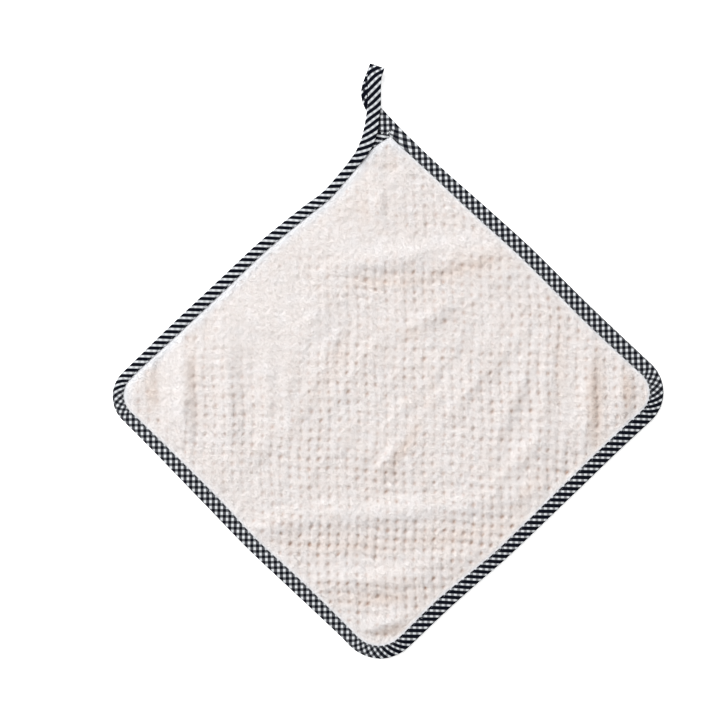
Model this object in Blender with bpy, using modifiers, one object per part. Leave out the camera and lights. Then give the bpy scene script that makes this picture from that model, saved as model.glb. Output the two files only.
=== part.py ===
"""A square hand towel lying face up, with one corner pointing along +Y.

Three pieces are sewn together: a panel of thick grid fleece, a checked bias
binding folded over its whole edge, and the free end of that binding, folded
shut and turned back on itself as a hanging loop at the +Y corner.

Units are metres and +Z is up. The origin is the middle of the underside.
"""

import math
from collections import namedtuple

import bmesh
import bpy
from mathutils import Vector

MM = 0.001

# Driving dimensions
SIDE = 300 * MM
FLEECE_THICK = 3.8 * MM
TAPE_FABRIC = 0.7 * MM
BINDING_HEIGHT = 3.6 * MM
LOOP_TAPE_THICK = 1.4 * MM
CLEARANCE = 0.3 * MM

# The binding squeezes the edge of the fleece flat
SQUEEZED_THICK = BINDING_HEIGHT - 2 * TAPE_FABRIC - 2 * CLEARANCE
SQUEEZED_EDGE_SHARE = 0.24
SQUEEZED_PAST_BINDING = 0.6 * MM
FULL_PAST_BINDING = 2.4 * MM

# How finely the curved shapes are divided
CELLS_PER_SIDE = 34
RELAX_PASSES = 12
LOOP_STEP = 2.4 * MM

# Where each corner lies, as its shift from the true square in millimetres,
# and the radius that the binding is turned on there
Corner = namedtuple("Corner", "name out_x out_y shift_x shift_y radius")
CORNERS = (
    Corner("loop_corner", 0, 1, 2.1, -5.4, 0.0),
    Corner("right", 1, 0, 6.7, 2.3, 30.0),
    Corner("near", 0, -1, -6.4, 3.7, 33.5),
    Corner("left", -1, 0, -2.3, -0.5, 26.0),
)

# How each side bows inwards and how wide its binding shows, in millimetres,
# by the share of the way along it, clockwise from the loop's corner
Edge = namedtuple("Edge", "share inward width")
SIDES = (
    (
        Edge(0.00, 0.3, 10.8),
        Edge(0.07, 1.6, 9.6),
        Edge(0.18, 1.7, 9.1),
        Edge(0.31, 0.4, 10.2),
        Edge(0.47, -0.7, 10.5),
        Edge(0.59, 0.0, 10.7),
        Edge(0.71, 0.7, 11.1),
        Edge(0.88, 0.7, 10.9),
        Edge(1.00, 0.3, 10.3),
    ),
    (
        Edge(0.00, 0.3, 10.3),
        Edge(0.21, 0.6, 10.4),
        Edge(0.33, 0.0, 10.2),
        Edge(0.58, -0.7, 9.2),
        Edge(0.67, 0.4, 9.6),
        Edge(0.77, 1.1, 10.8),
        Edge(0.88, 0.8, 10.2),
        Edge(1.00, 0.6, 9.6),
    ),
    (
        Edge(0.00, 0.6, 9.6),
        Edge(0.12, 2.0, 8.8),
        Edge(0.21, 1.5, 9.4),
        Edge(0.33, 0.4, 10.0),
        Edge(0.46, -0.7, 9.6),
        Edge(0.60, 0.0, 10.4),
        Edge(0.83, 1.1, 9.2),
        Edge(1.00, 0.9, 8.4),
    ),
    (
        Edge(0.00, 0.9, 8.4),
        Edge(0.12, 0.9, 7.4),
        Edge(0.25, 0.4, 8.6),
        Edge(0.42, 0.8, 8.6),
        Edge(0.54, 1.0, 8.4),
        Edge(0.62, 2.6, 8.2),
        Edge(0.70, 4.9, 8.0),
        Edge(0.75, 6.8, 7.6),
        Edge(0.80, 5.8, 7.4),
        Edge(0.87, 2.9, 8.2),
        Edge(0.93, -2.6, 12.2),
        Edge(1.00, -9.5, 21.3),
    ),
)
MITRE_RUN = 30 * MM

# Soft folds of the laid towel in millimetres: the middle of each crest, its
# heading anticlockwise from +X in degrees, its length, half width and height
Fold = namedtuple("Fold", "x y heading length half_width height")
FOLDS = (
    Fold(-149, -1, 91, 100, 9.5, 2.0),
    Fold(-120, 0, 93, 120, 11.0, 0.9),
    Fold(148, -1, 88, 104, 10.0, 1.9),
    Fold(172, 2, 90, 56, 8.0, 1.4),
    Fold(10, 103, 8, 144, 12.5, 2.0),
    Fold(4, -86, 5, 184, 13.0, 2.2),
    Fold(1, -135, 3, 110, 11.0, 1.8),
    Fold(-2, -168, 12, 42, 8.5, 1.2),
    Fold(2, -50, 58, 44, 9.0, 1.2),
    Fold(56, 2, 58, 104, 11.0, 0.9),
    Fold(90, -4, 66, 104, 11.0, 0.8),
    Fold(36, 62, 30, 60, 10.0, 1.0),
    Fold(-72, 10, 82, 84, 11.0, 0.8),
    Fold(-40, 42, 60, 56, 10.0, 0.7),
    Fold(-4, 146, 74, 40, 9.0, 0.9),
    Fold(-92, -38, 50, 72, 11.0, 0.9),
    Fold(106, -40, 52, 72, 11.0, 0.9),
)

# The loop's corner rides up over the end of the loop's tape, which is tacked
# to its underside
TIP_RISE = LOOP_TAPE_THICK + CLEARANCE
TIP_RISE_FROM_Y = 150 * MM
TIP_RISE_FULL_Y = 194 * MM

# The middle line of the loop's tape in millimetres: from its root, over the
# corner, round the turn and back below it. Lean is the heading of the tape's
# width from +X in degrees
TapePoint = namedtuple("TapePoint", "x y z lean width")
TAPE_ROUTE = (
    TapePoint(-20.6, 175.8, 5.8, -46, 8.0),
    TapePoint(-14.6, 185.8, 6.2, -28, 9.8),
    TapePoint(-11.6, 195.5, 6.4, -12, 10.4),
    TapePoint(-10.3, 204.6, 6.4, -4, 9.8),
    TapePoint(-9.0, 213.1, 6.8, -2, 9.8),
    TapePoint(-8.8, 221.5, 8.1, 0, 9.6),
    TapePoint(-8.8, 229.4, 8.7, -4, 9.8),
    TapePoint(-8.6, 235.6, 8.4, -9, 10.8),
    TapePoint(-7.3, 240.6, 7.1, -17, 11.4),
    TapePoint(-6.9, 242.2, 4.9, -19, 11.6),
    TapePoint(-7.7, 240.8, 2.6, -20, 11.2),
    TapePoint(-9.8, 236.2, 1.2, -14, 10.6),
    TapePoint(-12.4, 229.9, 0.7, -6, 10.2),
    TapePoint(-13.8, 223.4, 0.7, 4, 10.0),
    TapePoint(-12.6, 217.0, 0.7, 20, 10.0),
    TapePoint(-9.7, 211.2, 0.7, 36, 10.0),
    TapePoint(-6.2, 205.4, 0.7, 44, 10.0),
    TapePoint(-2.8, 200.4, 0.7, 46, 10.0),
)

# Colours of the model's plain materials
FLEECE_COLOUR = (0.80, 0.75, 0.72, 1.0)
CHECK_COLOUR = (0.16, 0.16, 0.18, 1.0)


def smooth_step(value):
    """Eases a value from 0 to 1 with level ends."""
    value = min(1.0, max(0.0, value))
    return value * value * (3 - 2 * value)


def spline(before, start, end, after, share):
    """A Catmull-Rom value between start and end."""
    bend = 2 * before - 5 * start + 4 * end - after
    twist = 3 * start - before - 3 * end + after
    return start + 0.5 * share * (end - before + share * (bend + share * twist))


def read_edge(rows, share):
    """The inward bow and binding width at a share of a side, in metres."""
    ends = (rows[0],) + rows + (rows[-1],)
    for index in range(1, len(ends) - 2):
        if share <= ends[index + 1].share:
            break
    window = ends[index - 1 : index + 3]
    along = (share - window[1].share) / (window[2].share - window[1].share)
    inward = spline(*(row.inward for row in window), along)
    width = spline(*(row.width for row in window), along)
    return inward * MM, width * MM


def corner_place(corner):
    """The point where a corner's two sides would meet if they were straight."""
    half_diagonal = SIDE / math.sqrt(2)
    return Vector(
        (
            corner.out_x * half_diagonal + corner.shift_x * MM,
            corner.out_y * half_diagonal + corner.shift_y * MM,
        )
    )


def side_frame(side):
    """A side's start, heading, inward normal and length."""
    start = corner_place(CORNERS[side])
    end = corner_place(CORNERS[(side + 1) % len(CORNERS)])
    heading = (end - start).normalized()
    return start, heading, Vector((heading.y, -heading.x)), (end - start).length


def corner_turn(index):
    """Radius, tangent length and half turn of a corner."""
    heading_in = side_frame((index - 1) % len(CORNERS))[1]
    heading_out = side_frame(index)[1]
    half_turn = heading_in.angle(heading_out) / 2
    radius = CORNERS[index].radius * MM
    return radius, radius * math.tan(half_turn), half_turn


def corner_shift(index, inward_before, inward_after):
    """The shift of a corner that moves its two sides inwards by these amounts."""
    before = side_frame((index - 1) % len(CORNERS))[2]
    after = side_frame(index)[2]
    turn = before.x * after.y - before.y * after.x
    return Vector(
        (
            (inward_before * after.y - inward_after * before.y) / turn,
            (inward_after * before.x - inward_before * after.x) / turn,
        )
    )


def edge_station(side, share):
    """A point on the outer edge, and the vector across the binding there.

    The share runs from the middle of one corner to the middle of the next.
    """
    start, heading, normal, length = side_frame(side)
    next_side = (side + 1) % len(CORNERS)
    radius_a, tangent_a, half_a = corner_turn(side)
    radius_b, tangent_b, half_b = corner_turn(next_side)
    arc_a = radius_a * half_a
    straight = length - tangent_a - tangent_b
    run = share * (arc_a + straight + radius_b * half_b)
    if run < arc_a:
        angle = half_a - run / radius_a
        inwards = normal * math.cos(angle) + heading * math.sin(angle)
        centre = start + heading * tangent_a + normal * radius_a
        place = centre - inwards * radius_a
    elif run > arc_a + straight:
        angle = (run - arc_a - straight) / radius_b
        inwards = normal * math.cos(angle) - heading * math.sin(angle)
        centre = start + heading * (length - tangent_b) + normal * radius_b
        place = centre - inwards * radius_b
    else:
        inwards = normal
        place = start + heading * (tangent_a + run - arc_a)
    along = (place - start).dot(heading)
    inward, width = read_edge(SIDES[side], along / length)
    place = place + inwards * inward
    across = inwards * width
    for index, distance in ((side, along), (next_side, length - along)):
        if CORNERS[index].radius == 0 and distance < MITRE_RUN:
            fade = 1 - distance / MITRE_RUN
            inward_a, width_a = read_edge(SIDES[index - 1], 1.0)
            inward_b, width_b = read_edge(SIDES[index], 0.0)
            bow = corner_shift(index, inward_a, inward_b)
            mitre = corner_shift(index, width_a, width_b)
            place = place + heading * bow.dot(heading) * fade
            across = across + heading * mitre.dot(heading) * fade
    return place, across


def fold_height(x, y):
    """How far the towel lifts off the surface at a place."""
    tip_share = (y - TIP_RISE_FROM_Y) / (TIP_RISE_FULL_Y - TIP_RISE_FROM_Y)
    height = TIP_RISE * smooth_step(tip_share)
    for fold in FOLDS:
        heading = math.radians(fold.heading)
        off_x = x / MM - fold.x
        off_y = y / MM - fold.y
        along = off_x * math.cos(heading) + off_y * math.sin(heading)
        across = off_y * math.cos(heading) - off_x * math.sin(heading)
        along = 2 * along / fold.length
        across = across / fold.half_width
        if abs(along) < 1 and abs(across) < 1:
            bump = math.cos(math.pi / 2 * along) * math.cos(math.pi / 2 * across)
            height += fold.height * MM * bump * bump
    return height


def edge_ring(share_across, past_binding):
    """A closed ring of points round the towel, clockwise from the loop's corner."""
    points = []
    for side in range(len(CORNERS)):
        for cell in range(CELLS_PER_SIDE):
            place, across = edge_station(side, cell / CELLS_PER_SIDE)
            reach = share_across + past_binding / across.length
            points.append(place + across * reach)
    return points


def patch_point(ring, column, row):
    """A point inside a ring of four sides, blended from its edges."""
    cells = CELLS_PER_SIDE
    u = column / cells
    v = row / cells
    upper_right = ring[column]
    lower_right = ring[(cells + row) % len(ring)]
    lower_left = ring[3 * cells - column]
    upper_left = ring[(4 * cells - row) % len(ring)]
    blended = upper_right * (1 - v) + lower_left * v
    blended = blended + upper_left * (1 - u) + lower_right * u
    blended = blended - ring[0] * (1 - u) * (1 - v) - ring[cells] * u * (1 - v)
    return blended - ring[3 * cells] * (1 - u) * v - ring[2 * cells] * u * v


def ring_keys():
    """The grid's edge vertices as (column, row), clockwise from the loop's corner."""
    cells = CELLS_PER_SIDE
    keys = [(step, 0) for step in range(cells)]
    keys += [(cells, step) for step in range(cells)]
    keys += [(cells - step, cells) for step in range(cells)]
    keys += [(0, cells - step) for step in range(cells)]
    return keys


def build_fleece(collection):
    """The fleece panel: a folded sheet with its thickness given by Solidify."""
    mesh = bpy.data.meshes.new("towel_cloth")
    panel = bpy.data.objects.new("towel_cloth", mesh)
    collection.objects.link(panel)
    thickness = panel.vertex_groups.new(name="thickness")
    shape = bmesh.new()
    weights = shape.verts.layers.deform.verify()
    cells = CELLS_PER_SIDE
    full_ring = edge_ring(1.0, FULL_PAST_BINDING)
    grid = {}
    for row in range(cells + 1):
        for column in range(cells + 1):
            place = patch_point(full_ring, column, row)
            grid[column, row] = shape.verts.new((place.x, place.y, 0))
    for row in range(cells):
        for column in range(cells):
            corners = ((0, 0), (1, 0), (1, 1), (0, 1))
            shape.faces.new([grid[column + i, row + j] for i, j in corners])
    rim = [grid[key] for key in ring_keys()]
    held = set(rim)
    free = [vertex for vertex in grid.values() if vertex not in held]
    for _ in range(RELAX_PASSES):
        bmesh.ops.smooth_vert(
            shape, verts=free, factor=0.5, use_axis_x=True, use_axis_y=True
        )
    for vertex in grid.values():
        vertex.co.z = FLEECE_THICK / 2
        vertex[weights][thickness.index] = 1.0
    squeezed_rings = (
        edge_ring(1.0, SQUEEZED_PAST_BINDING),
        edge_ring(SQUEEZED_EDGE_SHARE, 0.0),
    )
    inner = rim
    for ring in squeezed_rings:
        outer = [shape.verts.new((*point, BINDING_HEIGHT / 2)) for point in ring]
        for vertex in outer:
            vertex[weights][thickness.index] = SQUEEZED_THICK / FLEECE_THICK
        for index in range(len(ring)):
            before = index - 1
            shape.faces.new((inner[before], inner[index], outer[index], outer[before]))
        inner = outer
    for vertex in shape.verts:
        vertex.co.z += fold_height(vertex.co.x, vertex.co.y)
    bmesh.ops.recalc_face_normals(shape, faces=shape.faces)
    shape.to_mesh(mesh)
    shape.free()
    thicken = panel.modifiers.new("Solidify", "SOLIDIFY")
    thicken.thickness = FLEECE_THICK
    thicken.offset = 0
    thicken.use_even_offset = False
    thicken.vertex_group = thickness.name
    return panel


def loft(name, sections, closed, collection):
    """One closed body through like-numbered section points."""
    shape = bmesh.new()
    rows = [[shape.verts.new(point) for point in section] for section in sections]
    count = len(sections[0])
    last = len(rows) if closed else len(rows) - 1
    for index in range(last):
        here = rows[index]
        there = rows[(index + 1) % len(rows)]
        for corner in range(count):
            beside = (corner + 1) % count
            shape.faces.new((here[corner], here[beside], there[beside], there[corner]))
    if not closed:
        shape.faces.new(list(reversed(rows[0])))
        shape.faces.new(rows[-1])
    bmesh.ops.recalc_face_normals(shape, faces=shape.faces)
    mesh = bpy.data.meshes.new(name)
    shape.to_mesh(mesh)
    shape.free()
    obj = bpy.data.objects.new(name, mesh)
    collection.objects.link(obj)
    return obj


def binding_section():
    """The folded tape's channel, as shares of its width and heights."""
    top = BINDING_HEIGHT
    middle = BINDING_HEIGHT / 2
    fabric = TAPE_FABRIC
    fold_round = 0.7 * MM
    return (
        (1.00, top),
        (0.12, top),
        (0.03, top - fold_round),
        (0.00, middle),
        (0.03, fold_round),
        (0.12, 0.0),
        (1.00, 0.0),
        (1.00, fabric),
        (0.18, fabric),
        (0.11, middle),
        (0.18, top - fabric),
        (1.00, top - fabric),
    )


def build_binding(collection):
    """The bias binding: a channel swept round the whole edge of the towel."""
    sections = []
    for side in range(len(CORNERS)):
        for cell in range(CELLS_PER_SIDE):
            place, across = edge_station(side, cell / CELLS_PER_SIDE)
            section = []
            for share, height in binding_section():
                spot = place + across * share
                section.append((spot.x, spot.y, height + fold_height(spot.x, spot.y)))
            sections.append(section)
    return loft("edge_binding", sections, True, collection)


def tape_rows():
    """The loop's route read finely from its smooth curve."""
    rows = []
    ends = (TAPE_ROUTE[0],) + TAPE_ROUTE + (TAPE_ROUTE[-1],)
    for index in range(1, len(ends) - 2):
        window = ends[index - 1 : index + 3]
        reach = Vector(window[2][:3]) - Vector(window[1][:3])
        steps = max(1, round(reach.length * MM / LOOP_STEP))
        for step in range(steps):
            values = [spline(*column, step / steps) for column in zip(*window)]
            rows.append(TapePoint(*values))
    rows.append(TAPE_ROUTE[-1])
    return rows


def tape_section():
    """The folded tape's cross section, as shares of its width and thickness."""
    return (
        (-0.5, 0.1),
        (-0.46, 0.5),
        (0.46, 0.5),
        (0.5, 0.1),
        (0.5, -0.1),
        (0.46, -0.5),
        (-0.46, -0.5),
        (-0.5, -0.1),
    )


def build_loop(collection):
    """The hanging loop: flat tape turned back under itself."""
    rows = tape_rows()
    lowest = LOOP_TAPE_THICK / 2
    centres = [Vector((row.x * MM, row.y * MM, max(row.z * MM, lowest))) for row in rows]
    sections = []
    for index, (row, centre) in enumerate(zip(rows, centres)):
        ahead = centres[min(index + 1, len(centres) - 1)]
        behind = centres[max(index - 1, 0)]
        heading = (ahead - behind).normalized()
        lean = math.radians(row.lean)
        wide = Vector((math.cos(lean), math.sin(lean), 0))
        wide = (wide - heading * wide.dot(heading)).normalized()
        thick = wide.cross(heading)
        section = []
        for share, level in tape_section():
            across = wide * row.width * MM * share
            section.append(centre + across + thick * LOOP_TAPE_THICK * level)
        sections.append(section)
    return loft("hanging_loop", sections, False, collection)


def plain_material(name, colour):
    """A plain fabric material."""
    material = bpy.data.materials.new(name)
    material.use_nodes = True
    shader = material.node_tree.nodes["Principled BSDF"]
    shader.inputs["Base Color"].default_value = colour
    shader.inputs["Roughness"].default_value = 0.95
    shader.inputs["Metallic"].default_value = 0.0
    return material


def main():
    for obj in list(bpy.data.objects):
        bpy.data.objects.remove(obj)
    collection = bpy.data.collections.new("hand_towel")
    bpy.context.scene.collection.children.link(collection)
    panel = build_fleece(collection)
    panel.data.materials.append(plain_material("fleece", FLEECE_COLOUR))
    binding = build_binding(collection)
    binding.data.materials.append(plain_material("binding_check", CHECK_COLOUR))
    loop = build_loop(collection)
    loop.data.materials.append(plain_material("loop_check", CHECK_COLOUR))


main()
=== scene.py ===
import math
from collections import namedtuple

import bmesh
import bpy
import numpy as np
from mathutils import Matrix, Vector
from mathutils.kdtree import KDTree


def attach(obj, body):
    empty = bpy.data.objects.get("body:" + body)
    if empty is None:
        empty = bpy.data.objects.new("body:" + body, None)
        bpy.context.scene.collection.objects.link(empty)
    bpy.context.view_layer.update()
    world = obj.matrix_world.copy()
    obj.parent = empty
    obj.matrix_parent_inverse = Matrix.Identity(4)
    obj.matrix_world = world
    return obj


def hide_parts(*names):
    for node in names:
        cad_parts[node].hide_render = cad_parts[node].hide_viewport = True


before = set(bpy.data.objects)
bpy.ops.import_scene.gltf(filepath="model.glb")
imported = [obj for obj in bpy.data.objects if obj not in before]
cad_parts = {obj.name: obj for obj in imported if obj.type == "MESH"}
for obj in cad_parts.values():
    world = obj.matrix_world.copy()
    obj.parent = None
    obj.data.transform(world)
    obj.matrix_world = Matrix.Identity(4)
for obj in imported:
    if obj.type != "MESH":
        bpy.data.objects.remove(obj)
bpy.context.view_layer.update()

bl_info = {
    "name": "Square Fleece Hand Towel",
    "version": (1, 0, 0),
    "blender": (4, 5, 0),
    "location": "View3D > Sidebar > Hand Towel",
    "description": "Sews a square grid fleece towel with a checked binding and a hanging loop",
    "category": "Object",
}

MM = 0.001

# Sizes shared with the model's source
SIDE = 300 * MM
FLEECE_THICK = 3.8 * MM
BINDING_HEIGHT = 3.6 * MM
LOOP_TAPE_THICK = 1.4 * MM
TIP_RISE = 1.7 * MM
TIP_RISE_FROM_Y = 150 * MM
TIP_RISE_FULL_Y = 194 * MM
MITRE_RUN = 30 * MM

# Where each corner lies, as its shift from the true square in millimetres,
# and the radius that the binding is turned on there
Corner = namedtuple("Corner", "name out_x out_y shift_x shift_y radius")
CORNERS = (
    Corner("loop_corner", 0, 1, 2.1, -5.4, 0.0),
    Corner("right", 1, 0, 6.7, 2.3, 30.0),
    Corner("near", 0, -1, -6.4, 3.7, 33.5),
    Corner("left", -1, 0, -2.3, -0.5, 26.0),
)

# How each side bows inwards and how wide its binding shows, in millimetres,
# by the share of the way along it, clockwise from the loop's corner
Edge = namedtuple("Edge", "share inward width")
SIDES = (
    (
        Edge(0.00, 0.3, 10.8),
        Edge(0.07, 1.6, 9.6),
        Edge(0.18, 1.7, 9.1),
        Edge(0.31, 0.4, 10.2),
        Edge(0.47, -0.7, 10.5),
        Edge(0.59, 0.0, 10.7),
        Edge(0.71, 0.7, 11.1),
        Edge(0.88, 0.7, 10.9),
        Edge(1.00, 0.3, 10.3),
    ),
    (
        Edge(0.00, 0.3, 10.3),
        Edge(0.21, 0.6, 10.4),
        Edge(0.33, 0.0, 10.2),
        Edge(0.58, -0.7, 9.2),
        Edge(0.67, 0.4, 9.6),
        Edge(0.77, 1.1, 10.8),
        Edge(0.88, 0.8, 10.2),
        Edge(1.00, 0.6, 9.6),
    ),
    (
        Edge(0.00, 0.6, 9.6),
        Edge(0.12, 2.0, 8.8),
        Edge(0.21, 1.5, 9.4),
        Edge(0.33, 0.4, 10.0),
        Edge(0.46, -0.7, 9.6),
        Edge(0.60, 0.0, 10.4),
        Edge(0.83, 1.1, 9.2),
        Edge(1.00, 0.9, 8.4),
    ),
    (
        Edge(0.00, 0.9, 8.4),
        Edge(0.12, 0.9, 7.4),
        Edge(0.25, 0.4, 8.6),
        Edge(0.42, 0.8, 8.6),
        Edge(0.54, 1.0, 8.4),
        Edge(0.62, 2.6, 8.2),
        Edge(0.70, 4.9, 8.0),
        Edge(0.75, 6.8, 7.6),
        Edge(0.80, 5.8, 7.4),
        Edge(0.87, 2.9, 8.2),
        Edge(0.93, -2.6, 12.2),
        Edge(1.00, -9.5, 21.3),
    ),
)

# Soft folds of the laid towel in millimetres: the middle of each crest, its
# heading anticlockwise from +X in degrees, its length, half width and height
Fold = namedtuple("Fold", "x y heading length half_width height")
FOLDS = (
    Fold(-149, -1, 91, 100, 9.5, 2.0),
    Fold(-120, 0, 93, 120, 11.0, 0.9),
    Fold(148, -1, 88, 104, 10.0, 1.9),
    Fold(172, 2, 90, 56, 8.0, 1.4),
    Fold(10, 103, 8, 144, 12.5, 2.0),
    Fold(4, -86, 5, 184, 13.0, 2.2),
    Fold(1, -135, 3, 110, 11.0, 1.8),
    Fold(-2, -168, 12, 42, 8.5, 1.2),
    Fold(2, -50, 58, 44, 9.0, 1.2),
    Fold(56, 2, 58, 104, 11.0, 0.9),
    Fold(90, -4, 66, 104, 11.0, 0.8),
    Fold(36, 62, 30, 60, 10.0, 1.0),
    Fold(-72, 10, 82, 84, 11.0, 0.8),
    Fold(-40, 42, 60, 56, 10.0, 0.7),
    Fold(-4, 146, 74, 40, 9.0, 0.9),
    Fold(-92, -38, 50, 72, 11.0, 0.9),
    Fold(106, -40, 52, 72, 11.0, 0.9),
)

# Finer ripples of the fleece's face, given as the folds are; a height less than
# 0 is a dip
RIPPLES = (
    Fold(-184, 4, 92, 50, 7.5, 0.8),
    Fold(-168, 2, 91, 84, 8.0, -1.2),
    Fold(-151, 3, 91, 160, 14.0, 0.8),
    Fold(-115, -6, 95, 190, 11.0, 1.3),
    Fold(-88, 14, 88, 130, 9.0, 0.8),
    Fold(-58, 0, 62, 170, 9.0, 0.7),
    Fold(-49, 62, 60, 80, 18.0, 1.2),
    Fold(-24, 16, 54, 200, 9.0, 0.6),
    Fold(-24, 112, 2, 150, 16.0, 0.4),
    Fold(0, 95, 5, 90, 9.0, 0.8),
    Fold(50, 98, 16, 130, 10.0, 1.3),
    Fold(-74, -94, 13, 120, 13.0, 1.5),
    Fold(4, -98, 6, 250, 16.0, 0.6),
    Fold(82, -77, 11, 120, 13.0, 1.1),
    Fold(-42, -136, 8, 90, 11.0, 0.9),
    Fold(44, -122, 12, 90, 10.0, 1.0),
    Fold(-2, -141, 4, 120, 10.0, 0.6),
    Fold(0, -169, 16, 60, 7.0, 0.9),
    Fold(150, -3, 88, 160, 9.0, 0.7),
    Fold(177, 3, 90, 74, 9.0, 1.2),
    Fold(118, 16, 84, 170, 10.0, 1.0),
    Fold(96, 0, 68, 150, 9.0, 0.8),
    Fold(74, 18, 48, 190, 9.0, 0.6),
    Fold(47, 8, 49, 220, 8.0, 0.7),
    Fold(16, -6, 50, 220, 9.0, 0.7),
    Fold(-34, -34, 50, 150, 10.0, 0.7),
    Fold(-2, -48, 52, 46, 7.5, 1.4),
    Fold(27, 55, 28, 90, 9.0, 0.7),
    Fold(88, -58, 46, 120, 9.0, 0.8),
    Fold(84, 85, 36, 90, 9.0, 0.7),
    Fold(-6, 142, 104, 70, 8.0, 1.1),
    Fold(2, 170, 90, 30, 10.0, -0.5),
)
# How far the face stands up inside the hem, and how far in from the hem that and
# the ripples reach their full height
INNER_LIFT = 0.7 * MM
INNER_LIFT_OVER = 25 * MM
RIPPLES_OVER = 9 * MM

# Streaks of painted shade, warmer and darker, in the folds' valleys, given as the folds are,
# with how strong the shade is in place of the height
VALLEY_SHADE_STREAKS = (
    Fold(-143, 10, 91, 100, 6.0, 0.6),
    Fold(-173, 4, 92, 48, 7.0, 1.0),
    Fold(154, -6, 89, 104, 9.0, 1.5),
    Fold(178, 2, 90, 44, 7.0, 1.2),
    Fold(0, 83, 3, 90, 8.0, 0.7),
    Fold(58, 94, 18, 84, 8.0, 0.9),
    Fold(17, 44, 30, 30, 8.0, 0.6),
    Fold(14, -38, 55, 70, 7.0, 0.9),
    Fold(32, 2, 88, 50, 7.0, 0.5),
    Fold(128, 22, 92, 100, 7.0, 0.5),
    Fold(-38, 22, 62, 90, 11.0, 0.5),
    Fold(-34, -112, -2, 110, 8.0, 0.5),
    Fold(52, -104, 12, 100, 8.0, 0.6),
    Fold(104, -72, 52, 60, 9.0, 0.5),
    Fold(-8, -151, 2, 84, 7.0, 0.8),
    Fold(2, -174, 14, 36, 6.0, 1.3),
    Fold(-16, 137, 95, 30, 6.0, 0.5),
    Fold(3, 170, 60, 24, 9.0, 0.5),
)

# Patches in millimetres where the pile is brushed over the hollows and gets painted
# highlight, or where a fold opens them, adds painted shade and the amount is less than 0
Brushed = namedtuple("Brushed", "x y reach_x reach_y amount")
BRUSHED = (
    Brushed(-78, 68, 26, 20, 0.8),
    Brushed(-12, 110, 46, 6, 0.8),
    Brushed(46, 114, 30, 5, 0.7),
    Brushed(12, 158, 12, 10, 0.5),
    Brushed(-155, 2, 7, 36, 0.8),
    Brushed(-106, 40, 14, 22, 0.5),
    Brushed(0, -86, 60, 6, 0.6),
    Brushed(-16, -128, 46, 6, 0.6),
    Brushed(-9, -166, 20, 7, 0.6),
    Brushed(134, 0, 5, 40, 0.6),
    Brushed(-90, -70, 26, 16, 0.35),
    Brushed(60, 46, 26, 14, 0.3),
    Brushed(21, 86, 46, 9, -0.45),
    Brushed(68, 99, 26, 9, -0.55),
    Brushed(-84, 20, 14, 30, 0.4),
    Brushed(155, -2, 5, 44, -0.3),
    Brushed(181, 0, 8, 24, -0.3),
    Brushed(-145, 4, 6, 42, -0.4),
    Brushed(0, -106, 84, 11, -0.65),
    Brushed(-4, -146, 46, 9, -0.85),
    Brushed(5, 134, 40, 8, -0.25),
    Brushed(0, -60, 12, 9, -0.5),
)

# Soft noises: the size of their patches in millimetres, their seed and strength
Noise = namedtuple("Noise", "patch seed amount")
NOISE_KNOTS = 64
WEAR_NOISE = Noise(26, 3, 0.34)
GROOVE_NOISES = (Noise(9, 7, 0.5), Noise(9, 8, 0.5))
LUMP_NOISES = (Noise(2.7, 5, 0.34), Noise(8, 6, 0.3))
MOTTLE_NOISE = Noise(6, 41, 0.2)
CLUMP_NOISE = Noise(1.9, 31, 1.0)
TUFT_NOISE = Noise(2.6, 33, 0.9)
PUCKER_NOISES = (Noise(5, 21, 0.10), Noise(14, 22, 0.14))

# How one hollow differs from the next: how far it wanders in shares of the pitch,
# how wide, long and short it is in shares of its width, and how strong it is
HOLLOW_SEED = 11
HOLLOW_KINDS = 96
HOLLOW_WANDER = 0.07
HOLLOW_SPREAD = 0.2
HOLLOW_LONG = 1.2
HOLLOW_SHORT = 0.85
HOLLOW_STRETCH = 0.3
HOLLOW_STRONG = 0.8
HOLLOW_WEAK = 0.6
HOLLOW_UNEVEN = 0.45

# How much the hollows and grooves show: on the whole, for each millimetre to the
# right and up, and between which limits. They grow deeper and darker towards the
# lower right, away from the light, and that darkening is partly painted shade
WEAR = 0.80
HOLLOWS_PER_X = 0.0012
HOLLOWS_PER_Y = -0.0019
WEAR_LIMITS = (0.08, 1.5)
BRUSHED_SHUT = 0.4

# The grooves between hollows: how narrow they are, how deep on the whole down and
# along the towel, and the most that both together count
GROOVE_POWER = 10
GROOVE_DOWN = 0.75
GROOVE_ALONG = 0.45
GROOVE_LIMIT = 1.2
GROOVE_DEPTH = 0.4 * MM

# The fleece's edge: where it lies under the binding as a share of its width, its
# thickness there, and how far in from the hem it is full and its relief begins
FLEECE_TUCK = 0.3
SQUEEZED_THICK = 1.6 * MM
SQUEEZED_OVER = 1.5 * MM
LUMPS_OVER = 3 * MM
CLEAR_FROM = 1.5 * MM
CLEAR_OVER = 3.5 * MM
BACK_RELIEF = 0.5
LOWEST_GROUND = 0.75 * MM
HEM_CELLS = 300
HEM_STEP = 5 * MM

# How the pile's colour is painted: a painted highlight beside the hem, wider towards
# the light, and on crests, and painted shade in the folds' valleys
LIT_SHARE = 0.25
FRINGE_OVER = 2.5 * MM
HIGHLIGHTED_OVER = 10 * MM
FULL_CREST = 4 * MM
PALE_CREST = 0.15
PALE_SHUT = 0.2
PALE_LIMIT = 0.35
WARM_LIMIT = 2

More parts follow.
